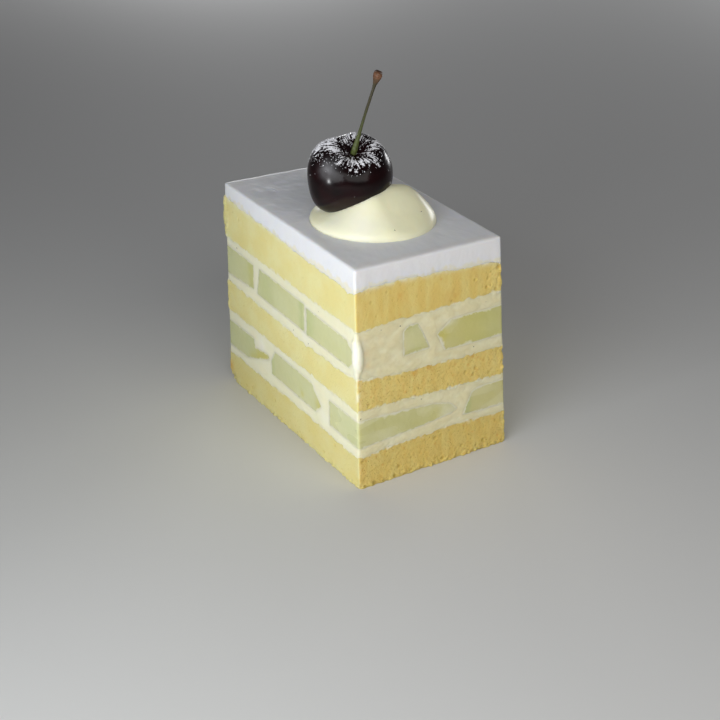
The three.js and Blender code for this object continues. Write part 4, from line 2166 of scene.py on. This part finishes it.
@dataclass
class VanillaSeeds:
    """Dark vanilla seeds in the fillings and the dollop, at the places that the faces show."""

    front: Outline = (
        (-36.5, 34.6), (-26, 35.2), (3, 35.0), (11.5, 34.4), (26.5, 10.6), (-31, 47.6), (18, 47.2),
    )
    side: Outline = ((-16, 48.0), (-10, 47.4), (-3.5, 22.9), (-23, 22.6), (14, 34.2), (18, 47.0))
    dollop: Outline = ((21.1, 7.5), (24.8, -3.4))
    length: float = 0.24
    width: float = 0.13

    def make(self, mound: Dollop, finish: Material) -> Piece:
        """Set each seed flat on the face that shows it.

        Args:
            mound: The dollop.
            finish: Its finish.

        Returns:
            The piece.
        """
        draw = np.random.default_rng(5)
        spots = []
        for x, z in self.front:
            wall = FORM.plan(np.array([x / 38.2]), np.array([-1.0]), np.array([z]))[0]
            spots.append(self.spot((x, wall[1], z), Vector((0, -1, 0)), draw))
        for y, z in self.side:
            wall = FORM.plan(np.array([1.0]), np.array([y / 24.4]), np.array([z]))[0]
            spots.append(self.spot((wall[0], y, z), Vector((1, 0, 0)), draw))
        for x, y in self.dollop:
            height, normal = self.on_mound(mound, x, y)
            spots.append(self.spot((x, y, height), normal, draw))
        lump, faces = lump_mesh(8.0)
        return present(scattered("vanilla_seeds", lump, faces, spots), finish, "vanilla_seed")

    def on_mound(self, mound: Dollop, x: float, y: float) -> tuple[float, Vector]:
        """Height of the dollop's surface at a plan place, and its normal.

        Args:
            mound: The dollop.
            x: Places along the long face.
            y: Places along the short face.

        Returns:
            The height and the normal.
        """

        def surface(px: float, py: float) -> float:
            """Height of the surface, with the lip rounded off.

            Args:
                px: Place along X.
                py: Place along Y.

            Returns:
                The height.
            """
            out = min(math.hypot(px - mound.centre[0], py - mound.centre[1]) / mound.radius, 0.999)
            up = (1 - out**mound.squareness) ** (1 / mound.squareness)
            plan = np.array([px]), np.array([py])
            return float((CROWN.level(*plan) - mound.sunk + up * mound.height(*plan))[0])

        here = surface(x, y)
        step = 0.1
        slope = Vector((here - surface(x + step, y), here - surface(x, y + step), step))
        return here, slope.normalized()

    def spot(self, place: Triple, normal: Vector, draw: np.random.Generator) -> Matrix:
        """A seed lying flat against a face, turned at random.

        Args:
            place: Where it lies.
            normal: The way the face points.
            draw: The source of the turn.

        Returns:
            The seed's matrix.
        """
        turn = Matrix.Rotation(draw.uniform(0, TURN), 3, "Z")
        basis = normal.to_track_quat("Z", "Y").to_matrix() @ turn
        scale = Matrix.Diagonal((self.length, self.width, self.width * 0.7))
        spot = (basis @ scale).to_4x4()
        spot.translation = Vector(place)
        return spot


# ---- the studio


@dataclass(frozen=True)
class Lamp:
    """A soft lamp; its place, target and size are in metres.

    Attributes:
        name: The lamp's name.
        place: Where it stands.
        target: What it looks at.
        size: How wide it is.
        power: How strong it is.
        colour: Its colour.
        cone: The opening of a round lamp's soft-edged cone in degrees, or 0 for a square lamp.
    """

    name: str
    place: Triple
    target: Triple
    size: float
    power: float
    colour: Triple = (1.0, 1.0, 1.0)
    cone: float = 0.0

    def make(self) -> None:
        """Add the lamp to the scene."""
        data = bpy.data.lights.new(self.name, "SPOT" if self.cone else "AREA")
        if self.cone:
            data.spot_size = math.radians(self.cone)
            data.spot_blend = 1.0
            data.shadow_soft_size = self.size
        else:
            data.shape = "SQUARE"
            data.size = self.size
        data.energy = self.power
        data.color = self.colour
        lamp = bpy.data.objects.new(self.name, data)
        bpy.context.scene.collection.objects.link(lamp)
        lamp.location = self.place
        lamp.rotation_euler = (Vector(self.target) - Vector(self.place)).to_track_quat("-Z", "Y").to_euler()


@dataclass(frozen=True)
class Camera:
    """The camera: its place in millimetres and its turn in degrees."""

    place: Triple = (338.852, -199.499, 233.221)
    azimuth: float = 59.5866
    elevation: float = 28.8457
    roll: float = -1.2788
    lens: float = 75.0
    sensor: float = 36.0

    def make(self) -> None:
        """Add the camera and make it the scene's."""
        azimuth, elevation = math.radians(self.azimuth), math.radians(self.elevation)
        flat = math.cos(elevation)
        back = Vector((math.sin(azimuth) * flat, -math.cos(azimuth) * flat, math.sin(elevation)))
        right = Vector((math.cos(azimuth), math.sin(azimuth), 0))
        turn = Matrix((right, back.cross(right), back)).transposed()
        turn = turn @ Matrix.Rotation(math.radians(self.roll), 3, "Z")
        data = bpy.data.cameras.new("photo_camera")
        data.lens = self.lens
        data.sensor_width = self.sensor
        camera = bpy.data.objects.new("photo_camera", data)
        bpy.context.scene.collection.objects.link(camera)
        camera.matrix_world = Matrix.Translation(Vector(self.place) * MM) @ turn.to_4x4()
        bpy.context.scene.camera = camera


@dataclass(frozen=True)
class Studio:
    """A plain pale floor and plain soft light."""

    floor: float = 6.0
    world: Triple = (0.08, 0.08, 0.085)
    lamps: tuple[Lamp, ...] = (
        Lamp("window", (0.165, -0.235, 0.175), (0.03, -0.02, 0.045), 0.20, 0.49, (0.95, 0.98, 1.0)),
        Lamp("fill", (0.31, -0.04, 0.225), (0.03, 0.0, 0.045), 0.28, 0.44, (1.0, 0.98, 0.95)),
        Lamp("behind_right", (-0.26, 0.66, 0.05), (0.0, 0.0, 0.03), 0.16, 0.95, (0.98, 0.99, 1.0)),
        Lamp("behind_left", (-0.66, 0.30, 0.05), (0.0, 0.0, 0.03), 0.16, 0.95, (0.98, 0.99, 1.0)),
        Lamp("lattice", (0.06, -0.56, 0.06), (0.052, -0.025, 0.066), 0.03, 4.7, (0.97, 0.98, 1.0), cone=25.0),
    )

    def make(self, finish: Material) -> None:
        """Add the floor, the world and the lamps.

        Args:
            finish: The floor's finish.
        """
        bpy.ops.object.select_all(action="DESELECT")
        bpy.ops.mesh.primitive_plane_add(size=self.floor)
        floor = bpy.context.active_object
        floor.name = floor.data.name = "studio_floor"
        floor.data.materials.append(finish)
        world = bpy.data.worlds.new("studio")
        world.use_nodes = True
        world.node_tree.nodes["Background"].inputs["Color"].default_value = (*self.world, 1.0)
        bpy.context.scene.world = world
        for lamp in self.lamps:
            lamp.make()
        bpy.context.scene.view_settings.view_transform = "Standard"


# ---- the slice

FAR = 45.0

UPPER_MELONS = (
    Melon(
        "melon_upper_end",
        (Cut(Facing.FRONT, ((-42, 36.8), (-20.8, 38.0), (-20.4, 46.2), (-42, 46.4)), (-FAR, 9)),),
        bands=(Band(-22.3, 1.6, 0.35), Band(-38, 6, 0.15)),
        stains=(Spot((-22.2, -24.6, 44.0), 2.2, 0.4), Spot((-22.2, -24.6, 40.0), 2.2, 0.4)),
    ),
    Melon(
        "melon_upper_end_back",
        (Cut(Facing.FRONT, ((-42, 37.0), (-21.5, 37.4), (-20.6, 45.6), (-42, 46.0)), (12.5, FAR)),),
        bands=(Band(-24, 3, 0.4),),
    ),
    Melon(
        "melon_upper_middle",
        (Cut(Facing.FRONT, ((-19.0, 37.4), (9.8, 37.2), (9.8, 46.0), (-17.0, 46.3)), (-FAR, FAR)),),
        bands=(Band(8.0, 1.5, 0.55), Band(-13, 5, 0.3)),
    ),
    Melon(
        "melon_upper_corner",
        (
            Cut(
                Facing.FRONT,
                ((10.6, 37.0), (33.6, 36.9), (36.0, 39.4), (35.8, 42.6), (32.8, 45.0), (10.6, 45.3)),
                (-FAR, -11),
            ),
        ),
        bands=(Band(11.5, 3.5, 0.5),),
    ),
    Melon(
        "melon_upper_wedge",
        (
            Cut(
                Facing.SIDE,
                ((-9.0, 37.9), (-0.7, 38.3), (-4.3, 46.6), (-7.2, 46.7), (-9.0, 45.4)),
                (16, FAR),
            ),
        ),
        bands=(Band(-4.5, 3.0, 0.3),),
        stains=(Spot((37.6, -4.5, 42.0), 4.0, 0.3),),
        veil=0.22,
    ),
    Melon(
        "melon_upper_side",
        (Cut(Facing.SIDE, ((4.6, 36.0), (32, 35.1), (32, 44.2), (6.6, 44.8), (1.9, 41.6)), (14, FAR)),),
        bands=(Band(18, 7, 0.25),),
        stains=(Spot((37.6, 3.6, 41.0), 2.0, 0.7), Spot((37.6, 13.0, 40.0), 9.0, 0.5)),
        creamy=(Spot((37.6, 5.5, 44.4), 2.4, 0.45),),
    ),
)

LOWER_MELONS = (
    Melon(
        "melon_lower_end",
        (
            Cut(
                Facing.FRONT,
                (
                    (-42, 12.3), (-27, 12.6), (-21, 14.8), (-14, 17.6), (-12.6, 18.6), (-13.2, 19.6),
                    (-21.5, 18.4), (-21.8, 21.3), (-42, 21.0),
                ),
                (-FAR, -2),
            ),
        ),
        bands=(Band(-24, 5, 0.2), Band(-38, 6, 0.2)),
        stains=(
            Spot((-15.0, -24.6, 18.4), 2.6, 0.75),
            Spot((-19.0, -24.6, 16.4), 2.6, 0.7),
            Spot((-23.0, -24.6, 14.2), 2.4, 0.45),
        ),
    ),
    Melon(
        "melon_lower_end_back",
        (Cut(Facing.FRONT, ((-42, 12.6), (-15.5, 13.2), (-14.0, 21.2), (-42, 21.4)), (1.8, FAR)),),
        bands=(Band(-18, 4, 0.4),),
    ),
    Melon(
        "melon_lower_middle",
        (
            Cut(
                Facing.FRONT,
                ((-11.4, 14.0), (14.6, 13.8), (17.8, 17.0), (12.6, 22.3), (-8.8, 22.6), (-11.4, 18.6)),
                (-FAR, FAR),
            ),
        ),
        bands=(Band(-10.6, 1.3, 0.4),),
        stains=(Spot((16.5, -24.2, 16.8), 2.2, 0.6), Spot((7.0, -24.3, 16.0), 1.0, 0.5)),
    ),
    Melon(
        "melon_lower_corner",
        (
            Cut(Facing.FRONT, ((22.3, 12.6), (FAR, 12.2), (FAR, 21.8), (22.3, 21.4)), (-FAR, 8.8)),
            Cut(
                Facing.SIDE,
                (
                    (-FAR, 12.6), (-22, 13.3), (-6, 14.2), (6.5, 15.3), (8.4, 16.2), (6.4, 18.4),
                    (0, 20.2), (-22, 21.9), (-FAR, 22.4),
                ),
                (22.3, FAR),
            ),
        ),
        bands=(Band(33, 6, 0.3),),
        stains=(Spot((38.0, 3.0, 17.0), 6.0, 0.25),),
        veil=0.16,
        creamy=(Spot((38.0, 6.5, 17.0), 4.0, 0.6), Spot((38.0, -2.0, 19.6), 2.5, 0.35)),
    ),
    Melon(
        "melon_lower_side",
        (Cut(Facing.SIDE, ((10.4, 13.5), (32, 12.7), (32, 20.9), (15.4, 20.8), (13.4, 19.8)), (22.8, FAR)),),
        bands=(Band(12.0, 1.2, 0.5),),
        veil=0.14,
    ),
)

SPONGES = (
    SpongeLayer(
        "bottom_sponge", "sponge_bottom", FOOT, BOTTOM_SPONGE_TOP,
        stains=(Spot((-38.5, -24.6, 4.6), 1.5, 1.0), Spot((-38.6, -22.0, 2.5), 1.2, 0.7)),
        coarse=0.9,
        foot=True,
        scraped=0.15,
        seed=1,
    ),
    SpongeLayer(
        "middle_sponge", "sponge_middle", LOWER_FILLING_TOP, MIDDLE_SPONGE_TOP,
        stains=(Spot((38, -5.5, 32.0), 1.1), Spot((38, -1.0, 32.4), 1.0), Spot((38, 1.2, 32.6), 0.7),
                Spot((38, 13.5, 31.5), 0.8, 0.5)),
        scraped=0.8,
        seed=2,
    ),
    SpongeLayer(
        "top_sponge", "sponge_top", UPPER_FILLING_TOP, TOP_SPONGE_TOP,
        stains=(Spot((37.6, -10.0, 56.0), 1.8, 0.35), Spot((37.5, 7.0, 52.0), 2.2, 0.3)),
        holes=(Spot((37.3, 20.3, 56.0), 1.6, 1.2), Spot((37.4, 20.0, 51.5), 2.0, 1.2)),
        bulge=1.1,
        coarse=0.25,
        frosted=0.8,
        seed=3,
    ),
)

FILLINGS = (
    Filling(
        "lower_filling_cream", "cream_lower", BOTTOM_SPONGE_TOP, LOWER_FILLING_TOP, LOWER_MELONS,
        brighter_patches=(Spot((-17.0, -25.0, 21.0), 2.6, 0.6), Spot((19.5, -25.0, 14.0), 2.6, 0.5)),
        seed=4,
    ),
    Filling(
        "upper_filling_cream", "cream_upper", MIDDLE_SPONGE_TOP, UPPER_FILLING_TOP, UPPER_MELONS,
        lumps=(
            Lump((37.5, -23.3, 41.3), (1.75, 1.6, 4.9)),
            Lump((37.1, -23.3, 44.6), (1.6, 1.35, 3.2)),
            Lump((37.2, -23.4, 37.6), (1.15, 0.9, 3.4)),
        ),
        stains=(
            Spot((37.9, -20.9, 42.0), 1.3, 0.30),
            Spot((37.9, -20.4, 38.6), 1.1, 0.34),
            Spot((37.9, -16.5, 44.5), 1.4, 0.12),
        ),
        brighter_patches=(
            Spot((38.4, -24.2, 44.5), 2.6, 0.75),
            Spot((38.4, -24.2, 40.5), 2.6, 0.75),
            Spot((38.0, -24.6, 36.5), 2.0, 0.5),
            Spot((10.0, -25.0, 36.0), 2.0, 0.5),
            Spot((-8.0, -25.0, 36.4), 2.2, 0.4),
        ),
        seed=5,
    ),
)


def main() -> None:
    """Build every piece in order, dress it and set up the studio."""
    logging.basicConfig(level=logging.INFO, format="%(message)s")
    effects = {"mottle": mottle_effect(), "crumb": crumb_effect(), "silk": silk_effect()}
    Camera().make()
    Studio().make(FLOOR.make(effects))
    crumb = SpongeFinish().make(effects)
    for sponge in SPONGES:
        sponge.make(crumb)
    cream = FILLING_CREAM.make(effects)
    flesh = MelonFinish().make(effects)
    for filling in FILLINGS:
        filling.make(cream, flesh)
    CreamTop().make(TOP_CREAM.make(effects))
    cherry = Cherry()
    dollop = Dollop()
    dollop.make(cherry, DOLLOP_CREAM.make(effects))
    cherry.make(CherryFinish().make(effects))
    Stem().make(cherry, StemFinish().make(effects))
    SugarGrains().make(cherry, SUGAR.make(effects))
    VanillaSeeds().make(dollop, SEED.make(effects))


if __name__ == "__main__":
    main()
